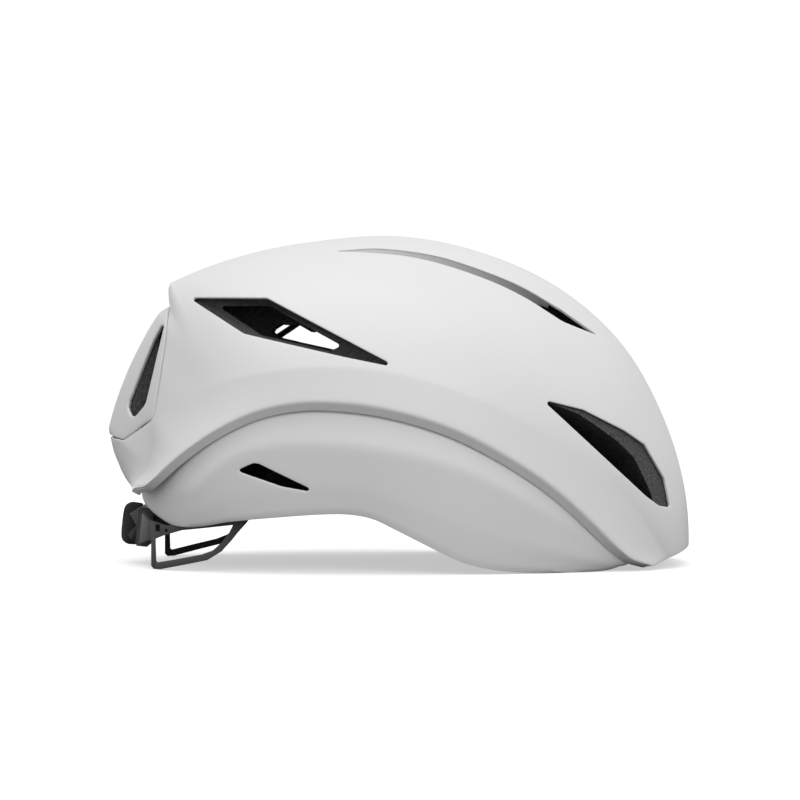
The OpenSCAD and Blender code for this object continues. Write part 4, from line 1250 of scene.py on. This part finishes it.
@dataclass
class Cavity:
    """Room for the head: rounded rings at rising heights."""

    length: float = 202.0
    width: float = 160.0
    x: float = 8.0
    rings: Outline = ((-6, 1.09, 1.05, -1), (14, 1.08, 1.04, -1), (30, 1.05, 1.02, -1), (45, 1, 1, 0),
                      (70, 0.95, 0.955, 0), (92, 0.83, 0.83, 0), (108, 0.68, 0.68, 0), (120, 0.5, 0.5, 0),
                      (128, 0.32, 0.32, 0), (134, 0.04, 0.04, 0))
    ceiling: Outline = ((0, 134.3), (0.04, 134), (0.32, 128), (0.5, 120), (0.68, 108), (0.83, 92), (0.95, 70))

    def wall(self, z: Points, turn: Points, d: Points) -> Points:
        """Points of the wall at a height and an angle, moved in by d.

        Args:
            z: heights.
            turn: angles in degrees.
            d: distances in from the wall.

        Returns:
            The points.
        """
        z, turn, d = np.broadcast_arrays(*(np.asarray(v, float) for v in (z, turn, d)))
        at, long, wide, shift = np.transpose(self.rings).astype(float)
        a = self.length / 2 * np.interp(z, at, long) - d
        b = self.width / 2 * np.interp(z, at, wide) - d
        p = 2 / np.where(z < 40, 2.5, mix(2.5, 2.0, np.minimum(1, (z - 40) / 50)))
        c, s = (np.sign(v) * np.abs(v) ** p for v in (np.cos(np.radians(turn)), np.sin(np.radians(turn))))
        return np.stack([self.x + np.interp(z, at, shift) + a * c, b * s, z], -1)

    def roof(self, x: Points, y: Points) -> Points:
        """Height of the ceiling over a plan position."""
        f = np.hypot((x - self.x) / (self.length / 2), y / (self.width / 2))
        return np.interp(f, *np.transpose(self.ceiling))


@dataclass
class ComfortPads:
    """Soft pads on hook discs: crowned, with welded edges and sewn channels."""

    cavity: Cavity
    thickness: float = 6.0
    welt: float = 1.1
    stand: float = 2.55

    def pad(self, name: str, spot: Callable[[Points, Points, Points], Points], channels: Sequence[float],
            long: float, high: float) -> Piece:
        """One pad.

        Args:
            name: its node.
            spot: turns shares along and across, and a distance from the foam, into points.
            channels: shares along it where it is sewn through.
            long: its length, for its UV map.
            high: its width, for its UV map.

        Returns:
            The dressed pad.
        """
        nu, nv = max(28, int(long / 1.6)), 22
        ee, ff = np.meshgrid(*(np.sin(np.linspace(-math.pi / 2, math.pi / 2, n + 1)) for n in (nu, nv)),
                             indexing="ij")
        far, side, slim = np.abs(ee), np.abs(ff), 2 * long / high
        ends = np.maximum(0.0, 1 - far ** (slim + 3)) ** 0.5
        u, v = (ee + 1) / 2, 0.5 + ff / 2 * np.maximum(ends, 0.02) * (1 - 0.12 * far ** 3)
        edge = np.maximum(0, 1 - side ** 3.2) ** 0.62 * np.maximum(0, 1 - far ** (slim + 2)) ** 0.55
        sewn = np.ones_like(u)
        for at in channels:
            sewn *= 1 - 0.55 * np.exp(-((u - at) * long / 2.0) ** 2) * (1 - side ** 6)
        pucker = 1 + 0.035 * np.sin(u * long * 1.9) * (1 - edge) * side
        full = (self.welt + (self.thickness - self.welt) * edge * sewn) * pucker
        verts = np.vstack([spot(u, v, self.stand + rise).reshape(-1, 3) for rise in (0 * full, full)])
        m, over = nv + 1, u.size
        faces = []
        for a in (i * m + j for i in range(nu) for j in range(nv)):
            b = a + over
            faces += [(a, a + 1, a + m + 1, a + m), (b, b + m, b + m + 1, b + 1)]
        ring = [*range(0, nu * m, m), *range(nu * m, over - 1), *range(over - 1, m - 1, -m), *range(nv, 0, -1)]
        faces += [(a, b, b + over, a + over) for a, b in zip(ring, ring[1:] + ring[:1])]
        made = mesh_piece(name.replace("_pad", "_cushion"), verts, faces, 75)
        with edited(made.data) as bm:
            bmesh.ops.recalc_face_normals(bm, faces=bm.faces)
            chart = bm.loops.layers.uv.new("UVMap")
            spots = np.column_stack([u.ravel() * long, v.ravel() * high]) * MM
            for loop in (loop for face in bm.faces for loop in face.loops):
                loop[chart].uv = spots[loop.vert.index % over]
        finished(made, PAD_BLACK, name)
        return made

    def build(self) -> list[Piece]:
        """Makes the six pads.

        Returns:
            The pieces.
        """

        def band(a: float, b: float, low: float, high: float) -> Callable[[Points, Points, Points], Points]:
            """Pad that lies on the cavity's wall."""
            return lambda u, v, d: self.cavity.wall(mix(low, high, v), mix(a, b, u), d)

        def crown(u: Points, v: Points, d: Points) -> Points:
            """Pad that lies under the crown."""
            x, y = mix(56.0, -40.0, u), (2 * v - 1) * 12.0
            return np.stack([x, y, self.cavity.roof(x, y) - d - 0.2], -1)

        made = [self.pad("brow_pad", band(46, -46, 17, 40), (0.22, 0.5, 0.78), 150, 23),
                self.pad("crown_pad", crown, (0.33, 0.67), 96, 24)]
        for side in Side:
            s, tag = side.value, side.name.lower()
            made += [self.pad(f"side_pad_{tag}", band(s * 72, s * 118, 58, 82), (0.5,), 76, 24),
                     self.pad(f"nape_pad_{tag}", band(s * 126, s * 158, 46, 70), (), 50, 24)]
        return made


@dataclass
class FoamLiner:
    """Foam between the shells and the head, with its air channels. Depths are half widths, inner then outer."""

    form: UpperForm
    shell: UpperShell
    lower: LowerShell
    cavity: Cavity
    gap: float = 0.4
    belt_gap: float = 0.8
    funnel: Outline = ((-84, 126.5), (-62, 126.5), (-29, 108.4), (-32, 106.9), (-65, 114.2))
    inner_vent: Outline = ((-62, 115), (-61.4, 116.2), (-58, 118.4), (-48.7, 118.1), (-28.1, 106.4), (-28.6, 105.7),
                           (-58, 112.4))
    inner_depth: float = 24.0
    rim_depth: float = 3.4
    slope_depth: float = 10.0
    throat: Outline = ((-108, 116), (-112, 82), (-119, 84), (-117, 112))
    throat_inner: Outline = ((-84, 106), (-84, 80), (-90, 80), (-90, 106))
    front_sweep: float = 15.0
    front_depths: tuple[float, float] = (26, 85)
    low_depths: tuple[float, float] = (40, 125)
    port_depths: tuple[float, float] = (20, 90)
    slot_depths: tuple[float, float] = (24, 75)
    strut_line: Outline = ((-70, 106), (-38, 127.5))
    strut_reach: float = 5.0
    strut_width: float = 2.8
    throat_outer: tuple[float, float] = (40, 30)
    duct_radius: float = 6.0
    duct_y: float = 34.4
    duct_toe: float = 0.05
    duct_x: tuple[float, float] = (-8, 66)
    duct_z: tuple[float, float] = (94, 170)
    foot: float = -5.0
    nape_box: Outline = ((-150, -98), (-24.5, 24.5))
    nape_top: float = 31.5
    track_box: Outline = ((-108.3, -68.3), (-10.2, 10.2), (20, 68.4))
    loop_at: float = -68.4
    loop_radius: float = 73.0
    loop_top: float = 26.8
    arm_top: float = 36.0
    arm_from: float = -18.0
    arm_path: Outline = ((-75.8, 66.7), (-75.8, 72.3), (-68.4, 66.9), (-68.4, 72.8), (48, 73.6), (48, 78.4))
    post_at: float = 40.0
    post_radius: float = 7.2
    post_span: tuple[float, float] = (71.2, 78.9)
    anchor_box: Outline = ((-13.3, 13.3), (-2.7, 6.3), (-6.3, 6.3))
    anchors: Outline = ((63, 75.4, 22, 18.5), (-27, 78.6, 46, -10))

    def outer(self) -> Piece:
        """Foam under the upper shell and the bezel, as one solid across.

        Returns:
            The solid.
        """
        form, corner = self.form, self.form.corner
        rows = []
        tail = [corner + o for o in (-0.4, 0, 0.5, 1.1, 1.7, 2.4, 3.4, 4.6)]
        for a in (*np.linspace(form.first, corner - 1, 64), *tail, *np.linspace(corner + 6, form.last, 14)):
            low, mid, high = form.levels(a)
            q = np.concatenate([[low, mid], np.linspace(mid, 0, 4)[1:], np.linspace(0, high, 27)[1:]])
            half = form.place(np.column_stack([0 * q + math.radians(a) * form.reference, q]))
            rows.append(np.vstack([half, half[-2::-1] * MIRROR]))
        grid = np.array(rows)
        bed = grown(rounded(self.shell.bezel_face, 1.0), 4.0)
        under_bezel = inside(grid.reshape(-1, 3)[:, [0, 2]], bed).reshape(*grid.shape[:2], 1)
        depth = np.where(under_bezel, self.shell.bezel_wall, self.shell.wall) + self.gap
        return mesh_piece("foam_upper_block", *stacked(list(sunk(grid, depth, form.centre))))

    def belt(self) -> Piece:
        """Foam behind the lower shell, as one solid across.

        Returns:
            The solid.
        """
        shares = np.linspace(0, self.lower.depth, 13)
        grid = np.array([self.lower.place(np.column_stack([0 * shares + length, shares]))
                         for length in np.linspace(0, self.lower.length[-1], 70)[:-1]])
        grid = sunk(grid, self.lower.wall + self.belt_gap, BELT_CENTRE)
        return mesh_piece("foam_lower_block", *stacked([np.vstack([row, row[::-1] * MIRROR]) for row in grid]))

    def head_room(self) -> Piece:
        """The head cavity as a solid.

        Returns:
            The solid.
        """
        turn = np.arange(0, 360, 4.0)
        heights = [*np.linspace(-6, 120, 40), 123, 126, 128.5, 130.5, 132, 133.2, 134]
        return mesh_piece("head_room", *stacked([self.cavity.wall(z, turn, 0) for z in heights]))

    def prism(self, outline: Points, depths: tuple[float, float], other: Points | None = None) -> list[Piece]:
        """Channels of both sides, from an outline at the outer depth to another at the inner one.

        Args:
            outline: outline in side view, at the outer depth.
            depths: half widths, inner then outer.
            other: outline at the inner depth, if it differs.

        Returns:
            Cutters of both sides.
        """
        inner, outer = depths
        end = outline if other is None else other
        return [hull_piece("channel", [*upright(outline, s.value * outer), *upright(end, s.value * inner)])
                for s in Side]

    def mouth(self, side: Points, funnel: Points) -> list[Piece]:
        """Channels behind the rear side vents: a lead-in as deep as the rim, a slope, then the funnel's bore.

        Args:
            side: the vent's outline in side view.
            funnel: outline of the bore.

        Returns:
            Cutters of both sides.
        """
        def at(outline: Points, drop: float) -> Points:
            """Points of an outline at a depth under the shell's surface, on the right."""
            skin = np.abs(self.form.place(self.form.locate(outline))[:, 1])
            return upright(outline, -np.maximum(skin - drop, self.inner_depth))

        rings = (at(side, -8), at(side, self.rim_depth), at(funnel, self.rim_depth + self.slope_depth),
                 upright(funnel, 0.5 - self.inner_depth))
        return [hull_piece("mouth", np.vstack(pair) * [1, mirror, 1])
                for mirror in (1, -1) for pair in zip(rings, rings[1:])]

    def strut(self) -> Piece:
        """Bar of foam that stands in the middle of the rear side vents' way.

        Returns:
            The solid.
        """
        bar = hull_piece("strut", [(x + u, y, z + v) for (x, z), y, (u, v) in product(
            self.strut_line, (-self.strut_reach, self.strut_reach), circle(self.strut_width / 2, 20))])
        tidy_solid(bar)
        return bar

    def vents(self) -> list[Piece]:
        """Solids of every air channel.

        Returns:
            The cutters.
        """
        shell, swell = self.shell, self.shell.vent_round
        front = swollen(shell.front_vent, swell)
        made = self.mouth(swollen(shell.side_vent, swell), swollen(self.funnel, swell))
        for channel in self.prism(swollen(self.inner_vent, 0.3), (-1, self.inner_depth + 0.5)):
            bar = self.strut()
            cut(channel, "DIFFERENCE", object=bar)
            applied(channel)
            discard(bar)
            made.append(channel)
        made += self.prism(front, self.front_depths, front - self.front_sweep)
        made += self.prism(swollen(self.lower.vent, swell), self.low_depths)
        made += self.prism(swollen(shell.port, swell), self.port_depths)
        throat, rear, spine = swollen(self.throat, swell), swollen(self.throat_inner, swell), shell.spine / 2
        far, near = self.throat_outer
        slot = shell.slot_ring()
        for k in range(0, len(slot) // 2 - 7, 6):
            part = np.vstack([slot[k:k + 8], slot[len(slot) - 8 - k:len(slot) - k]])
            made += self.prism(part, self.slot_depths)
        for s in Side:
            made.append(hull_piece("throat", np.vstack([upright(ring, s.value * y) for ring, y in (
                (throat, far), (rear, near), (throat, spine + 2), (rear, spine + 4))])))
            ends = [(x, s.value * (self.duct_y - x * self.duct_toe)) for x in self.duct_x]
            made.append(hull_piece("duct", [(x + u, y + v, z) for (x, y), (u, v), z in product(
                ends, circle(self.duct_radius, 20), self.duct_z)]))
        return made

    def pockets(self) -> list[Piece]:
        """Solids of the room for the cradle, its track, the arms, the posts and the anchors.

        Returns:
            The cutters.
        """
        sweep = circle(self.loop_radius, 4)
        made = [hull_piece("nape", product(*self.nape_box, (self.foot, self.nape_top))),
                hull_piece("track_room", product(*self.track_box))]
        for name, top, start in (("loop_room", self.loop_top, -math.inf), ("arm_room", self.arm_top, self.arm_from)):
            made.append(hull_piece(name, [
                (self.loop_at + u, v, z) for (u, v), z in product(sweep, (self.foot, top)) if u > start]))
        for s in Side:
            made.append(hull_piece("arm_relief", [
                (x, s.value * y, z) for (x, y), z in product(self.arm_path, (self.foot, self.arm_top))]))
            made.append(hull_piece("post_room", [
                (self.post_at + u, s.value * y, self.post_at + v)
                for (u, v), y in product(circle(self.post_radius, 12), self.post_span)]))
            for x, y, z, turned in self.anchors:
                c, n = math.cos(math.radians(turned)), math.sin(math.radians(turned))
                made.append(hull_piece("anchor_room", [
                    (x + c * u - n * v, s.value * (y - n * u - c * v), z + w)
                    for u, v, w in product(*self.anchor_box)]))
        return made

    def build(self) -> list[Piece]:
        """Makes the foam by joining its blocks and cutting its channels.

        Returns:
            The pieces.
        """
        foam, belt = self.outer(), self.belt()
        cutters = [*self.vents(), *self.pockets(), self.head_room()]
        shelf = bpy.data.collections.new("foam_cutters")
        for piece in (foam, belt, *cutters):
            tidy_solid(piece)
        for piece in cutters:
            shelf.objects.link(piece)
        cut(foam, "UNION", object=belt)
        cut(foam, "DIFFERENCE", operand_type="COLLECTION", collection=shelf, use_self=True)
        foam.name = "foam_core"
        applied(foam, 32)
        floor_cut(foam)
        discard(belt, *cutters)
        bpy.data.collections.remove(shelf)
        return [finished(foam, FOAM_GREY, "foam_liner")]


# ---------------------------------------------------------------- cradle


def eased_copy(node: str, name: str, width: float) -> Piece:
    """Copy of a CAD node, its edges softened over a width.

    Args:
        node: the CAD node.
        name: the copy's name.
        width: width in millimetres.

    Returns:
        The copy.
    """
    piece = linked(name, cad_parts[node].data.copy())
    piece.data.name = name
    with edited(piece.data) as bm:
        bmesh.ops.remove_doubles(bm, verts=bm.verts, dist=2e-6)
        bmesh.ops.dissolve_limit(bm, angle_limit=math.radians(1.0), verts=bm.verts, edges=bm.edges)
    bevel = piece.modifiers.new("soft_edges", "BEVEL")
    bevel.width, bevel.segments, bevel.use_clamp_overlap = width * MM, 2, True
    bevel.limit_method, bevel.angle_limit = "ANGLE", math.radians(28.0)
    applied(piece, 35)
    return piece


@dataclass
class Cradle:
    """Fit cradle: housing, slider, looped arms and dial."""

    dial_at: tuple[float, float, float] = (-128.6, 0.0, 19.1)
    tilt: float = 6.0
    rim: float = 10.7
    rib_height: float = 0.42
    depth: float = 9.0
    bore: float = 2.2
    ribs: int = 64
    shoulder: Outline = ((-9.0, -4.4), (-8.7, -3.0), (-7.9, -1.5), (-6.6, -0.5), (-5.0, 0.0))

    def to_place(self, points: Points) -> Points:
        """Points of the dial's own frame, with X along its shaft, in the helmet's frame.

        Args:
            points: points of the dial's own frame.

        Returns:
            The points in the helmet's frame.
        """
        c, s = math.cos(math.radians(self.tilt)), math.sin(math.radians(self.tilt))
        x, y, z = points.T
        return np.column_stack([x * c + z * s, y, -x * s + z * c]) + self.dial_at

    def knob_body(self) -> Piece:
        """Turned body of the knob, hollow towards the housing.

        Returns:
            The piece.
        """
        r, d, bore = self.rim - self.rib_height, self.depth, self.bore
        profile = rounded((
            (-d + 0.75, 0), (-d + 0.6, 2.6), (-d + 0.9, 3.4), (-d + 0.9, r - 5.6), (-d + 0.35, r - 5.0),
            *((x, r + z) for x, z in self.shoulder), (0, r), (0, r - 1.6), (-3, r - 1.8), (-3, bore),
            (-1, bore), (5.3, bore), (5.3, 0)), 0.45, closed=False, steps=5)
        round_shaft = circle(1.0, 3.0)
        rows = [np.column_stack([0 * round_shaft[:, 0] + x, q * round_shaft]) for x, q in profile[1:-1]]
        verts = np.vstack([[profile[0][0], 0, 0], *rows, [profile[-1][0], 0, 0]])
        n, faces = len(round_shaft), []
        last = len(verts) - 1
        for j, k in zip(range(1, n + 1), (*range(2, n + 1), 1)):
            faces += [(0, k, j), (last - n - 1 + j, last - n - 1 + k, last)]
            faces += [(a + j, a + k, a + n + k, a + n + j) for a in range(0, last - 1 - n, n)]
        piece = mesh_piece("knob_body", self.to_place(verts), faces, 50)
        tidy_solid(piece)
        return piece

    def rib(self) -> Piece:
        """One rib of the knob, at the top of its rim, with the dial's centre at the origin.

        Returns:
            The piece.
        """
        line = rounded([(x, z - self.rib_height) for x, z in (*self.shoulder, (-0.35, 0.0))], 0.5, closed=False,
                       steps=3)
        slope = unit(np.gradient(line, axis=0))
        across = ((-0.40, -0.30), (-0.24, 0.24), (0.0, self.rib_height), (0.24, 0.24), (0.40, -0.30))
        fade = np.interp(np.arange(len(line)), [0, 3, len(line) - 2, len(line) - 1], [0.1, 1, 1, 0.4])
        verts = np.array([
            (x - dz * lift * f, w * (0.35 + 0.65 * (self.rim + z) / self.rim), self.rim + z + dx * lift * f)
            for (x, z), (dx, dz), f in zip(line, slope, fade) for w, lift in across])
        n, last = len(across), len(verts) - len(across)
        faces = [tuple(range(n - 1, -1, -1)), tuple(range(last, last + n))]
        faces += [(a + k, a + (k + 1) % n, a + n + (k + 1) % n, a + n + k)
                  for a in range(0, last, n) for k in range(n)]
        piece = mesh_piece("knob_rib", verts, faces, 60)
        tidy_solid(piece)
        return piece

    def rib_tree(self, rib: Piece) -> Tree:
        """Geometry Nodes tree that sets one rib round the dial's shaft.

        Args:
            rib: the rib, drawn in the dial's own frame.

        Returns:
            The tree, with inputs for the count, the tilt, the dial's place and the finish.
        """
        tree = bpy.data.node_groups.new("ribs_round_shaft", "GeometryNodeTree")
        for name, way, kind in (
                ("Geometry", "INPUT", "Geometry"), ("Count", "INPUT", "Int"), ("Tilt", "INPUT", "Float"),
                ("Centre", "INPUT", "Vector"), ("Finish", "INPUT", "Material"),
                ("Geometry", "OUTPUT", "Geometry")):
            tree.interface.new_socket(name, in_out=way, socket_type=f"NodeSocket{kind}")
        src = tree.nodes.new("NodeGroupInput").outputs
        step = maths(tree, "DIVIDE", 2 * math.pi, src["Count"])
        turn = maths(tree, "MULTIPLY", add(tree, "GeometryNodeInputIndex").outputs[0], step)
        line = add(tree, "GeometryNodeMeshLine", {"Count": src["Count"], "Offset": (0, 0, 0)})
        put = add(tree, "GeometryNodeInstanceOnPoints", {
            "Points": line.outputs["Mesh"], "Rotation": add(tree, "CombineXYZ", {"X": turn}).outputs[0],
            "Instance": add(tree, "GeometryNodeObjectInfo", {"Object": rib}).outputs["Geometry"]})
        real = add(tree, "GeometryNodeRealizeInstances", {0: put.outputs["Instances"]})
        move = add(tree, "GeometryNodeTransform", {
            "Geometry": real.outputs[0], "Translation": src["Centre"],
            "Rotation": add(tree, "CombineXYZ", {"Y": src["Tilt"]}).outputs[0]})
        paint = add(tree, "GeometryNodeSetMaterial", {"Geometry": move.outputs[0], "Material": src["Finish"]})
        add(tree, "NodeGroupOutput", {"Geometry": paint.outputs[0]})
        return tree

    def knob(self) -> Piece:
        """The ribbed knob.

        Returns:
            The piece.
        """
        body, rib = self.knob_body(), self.rib()
        carrier = mesh_piece("knob_ribs", np.zeros((1, 3)), [])
        step = carrier.modifiers.new("ribs", "NODES")
        step.node_group = self.rib_tree(rib)
        values = {"Count": self.ribs, "Tilt": math.radians(self.tilt), "Centre": [c * MM for c in self.dial_at],
                  "Finish": KNOB_BLACK.material()}
        for item in step.node_group.interface.items_tree:
            if item.in_out == "INPUT" and item.name in values:
                step[item.identifier] = values[item.name]
        applied(carrier, 60)
        KNOB_BLACK.dress(body)
        with edited(body.data) as bm:
            bm.from_mesh(carrier.data)
        for face in body.data.polygons:
            face.material_index = 0
        body.data.set_sharp_from_angle(angle=math.radians(45))
        discard(carrier, rib)
        body.name = "dial_wheel"
        return finished(body, KNOB_BLACK, "dial_knob", Body.DIAL)

    def build(self) -> list[Piece]:
        """Makes the cradle's pieces.

        Returns:
            The pieces.
        """
        made = [self.knob()]
        for finish, slot, width, pieces in (
                (CRADLE_GREY, "cradle_grey", 0.35, (("cradle_housing", "housing_shell", Body.CRADLE),
                                                    ("housing_cover", "cover_plate", Body.CRADLE))),
                (CRADLE_GREY, "cradle_grey", 0.3, (("height_slider", "slider_stem", Body.CRADLE),)),
                (ANCHOR_BLACK, "anchor_black", 0.3, (("height_track", "track_sleeve", Body.HELMET),)),
                (ARM_GREY, "arm_grey", 0.5, (("wing_right", "arm_loop_right", Body.ARM_RIGHT),
                                             ("wing_left", "arm_loop_left", Body.ARM_LEFT))),
                (ANCHOR_BLACK, "anchor_black", 0.3, (("temple_post_right", "post_right", Body.HELMET),
                                                     ("temple_post_left", "post_left", Body.HELMET))),
                (ANCHOR_BLACK, "anchor_black", 0.4, (("strap_anchor_front", "anchor_front", Body.HELMET),
                                                     ("strap_anchor_rear", "anchor_rear", Body.HELMET)))):
            for node, name, body in pieces:
                made.append(finished(eased_copy(node, name, width), finish, node, body))
        for node, finish in (("slider_screws", STEEL), ("dial_screw", STEEL), ("click_spring", STEEL),
                             ("click_ring", GEAR_PALE), ("drive_gear", GEAR_PALE), ("pad_hooks", HOOK_BLACK)):
            finish.dress(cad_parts[node])
        return made


# ---------------------------------------------------------------- studio


@dataclass
class Studio:
    """Pale floor, soft light and the camera."""

    distance: float = 1640.0
    elevation: float = 1.0
    aim: tuple[float, float, float] = (1.0, 0.0, 81.1)
    field_width: float = 400.0
    sensor: float = 36.0
    floor_glow: float = 0.52
    floor_throw: float = 0.24
    floor_tone: float = 0.80
    sky_low: float = 1.0
    sky_high: float = 0.84

    def light(self, name: str, at: tuple, to: tuple, size: tuple[float, float], power: float) -> None:
        """Adds a soft rectangular light at a place in metres, turned towards another.

        Args:
            name: the light's name.
            at: its place.
            to: the place that it faces.
            size: its width and height in metres.
            power: its power in watts.
        """
        data = bpy.data.lights.new(name, "AREA")
        data.shape, data.energy = "RECTANGLE", power
        data.size, data.size_y = size
        lamp = linked(name, data)
        lamp.location = at
        lamp.rotation_euler = (Vector(to) - Vector(at)).to_track_quat("-Z", "Y").to_euler()

    @staticmethod
    def split(tree: Tree, output: str, thrown: bpy.types.NodeSocket, seen: bpy.types.NodeSocket) -> None:
        """Shows one shader to the camera and another to all else.

        Args:
            tree: the node tree.
            output: type of the output node.
            thrown: shader that lights the scene.
            seen: shader that the camera sees.
        """
        ray = add(tree, "LightPath").outputs["Is Camera Ray"]
        both = add(tree, "MixShader", {0: ray, 1: thrown, 2: seen})
        add(tree, output, {"Surface": both.outputs[0]})

    def sky(self) -> None:
        """White surround, a little dimmer overhead."""
        world = bpy.data.worlds.new("surround")
        bpy.context.scene.world = world
        world.use_nodes = True
        tree = world.node_tree
        tree.nodes.clear()
        up = add(tree, "SeparateXYZ", {0: add(tree, "TexCoord").outputs["Generated"]}).outputs["Z"]
        ramp = add(tree, "MapRange", {"Value": up, "From Min": 0.0, "From Max": 0.9, "To Min": self.sky_low,
                                      "To Max": self.sky_high})
        lit = add(tree, "Background", {"Strength": ramp.outputs["Result"]})
        seen = add(tree, "Background", {"Color": (1, 1, 1, 1), "Strength": 1.02})
        self.split(tree, "OutputWorld", lit.outputs[0], seen.outputs[0])

    def floor(self) -> None:
        """Pale floor under the helmet: bright to the camera, dimmer in what it throws back."""
        mesh = bpy.data.meshes.new("floor")
        with edited(mesh) as bm:
            bmesh.ops.create_circle(bm, cap_ends=True, radius=9.0, segments=96)
        made = bpy.data.materials.new("pale_floor")
        made.use_nodes = True
        tree = made.node_tree
        tree.nodes.clear()
        thrown, pale = (add(tree, "BsdfDiffuse", {"Color": (*grey(tone), 1)})
                        for tone in (self.floor_throw, self.floor_tone))
        glow = add(tree, "Emission", {"Strength": self.floor_glow})
        seen = add(tree, "AddShader", {0: pale.outputs[0], 1: glow.outputs[0]})
        self.split(tree, "OutputMaterial", thrown.outputs[0], seen.outputs[0])
        mesh.materials.append(made)
        floor = linked("floor", mesh)
        floor.location.z = -0.0002

    def camera(self) -> None:
        """Camera at the photograph's angle."""
        up, out = math.sin(math.radians(self.elevation)), math.cos(math.radians(self.elevation))
        aim = Vector(self.aim) * MM
        data = bpy.data.cameras.new("camera")
        data.sensor_width, data.lens = self.sensor, self.sensor * self.distance / self.field_width
        data.clip_start, data.clip_end = 0.05, 50.0
        eye = linked("camera", data)
        eye.location = aim + Vector((0, -out, up)) * self.distance * MM
        eye.rotation_euler = (aim - eye.location).to_track_quat("-Z", "Y").to_euler()
        bpy.context.scene.camera = eye

    def build(self) -> None:
        """Sets the whole studio."""
        self.camera()
        self.sky()
        self.floor()
        self.light("top_light", (-0.15, -0.25, 1.5), (0, 0, 0.1), (1.6, 1.2), 5.5)
        self.light("front_light", (0.5, -1.7, 0.9), (0, 0, 0.08), (1.0, 0.8), 7.5)
        bpy.context.scene.view_settings.view_transform = "Standard"


def main() -> None:
    """Builds every sub-assembly in order."""
    logging.basicConfig(level=logging.INFO, format="%(name)s: %(message)s")
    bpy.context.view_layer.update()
    Studio().build()
    form = UpperForm()
    upper, lower, cavity = UpperShell(form), LowerShell(form), Cavity()
    parts = (upper, lower, ComfortPads(cavity), FoamLiner(form, upper, lower, cavity), Cradle())
    for part in parts:
        for piece in part.build():
            log.info("%s: %s, %d faces", type(part).__name__, piece.name, len(piece.data.polygons))


if __name__ == "__main__":
    main()
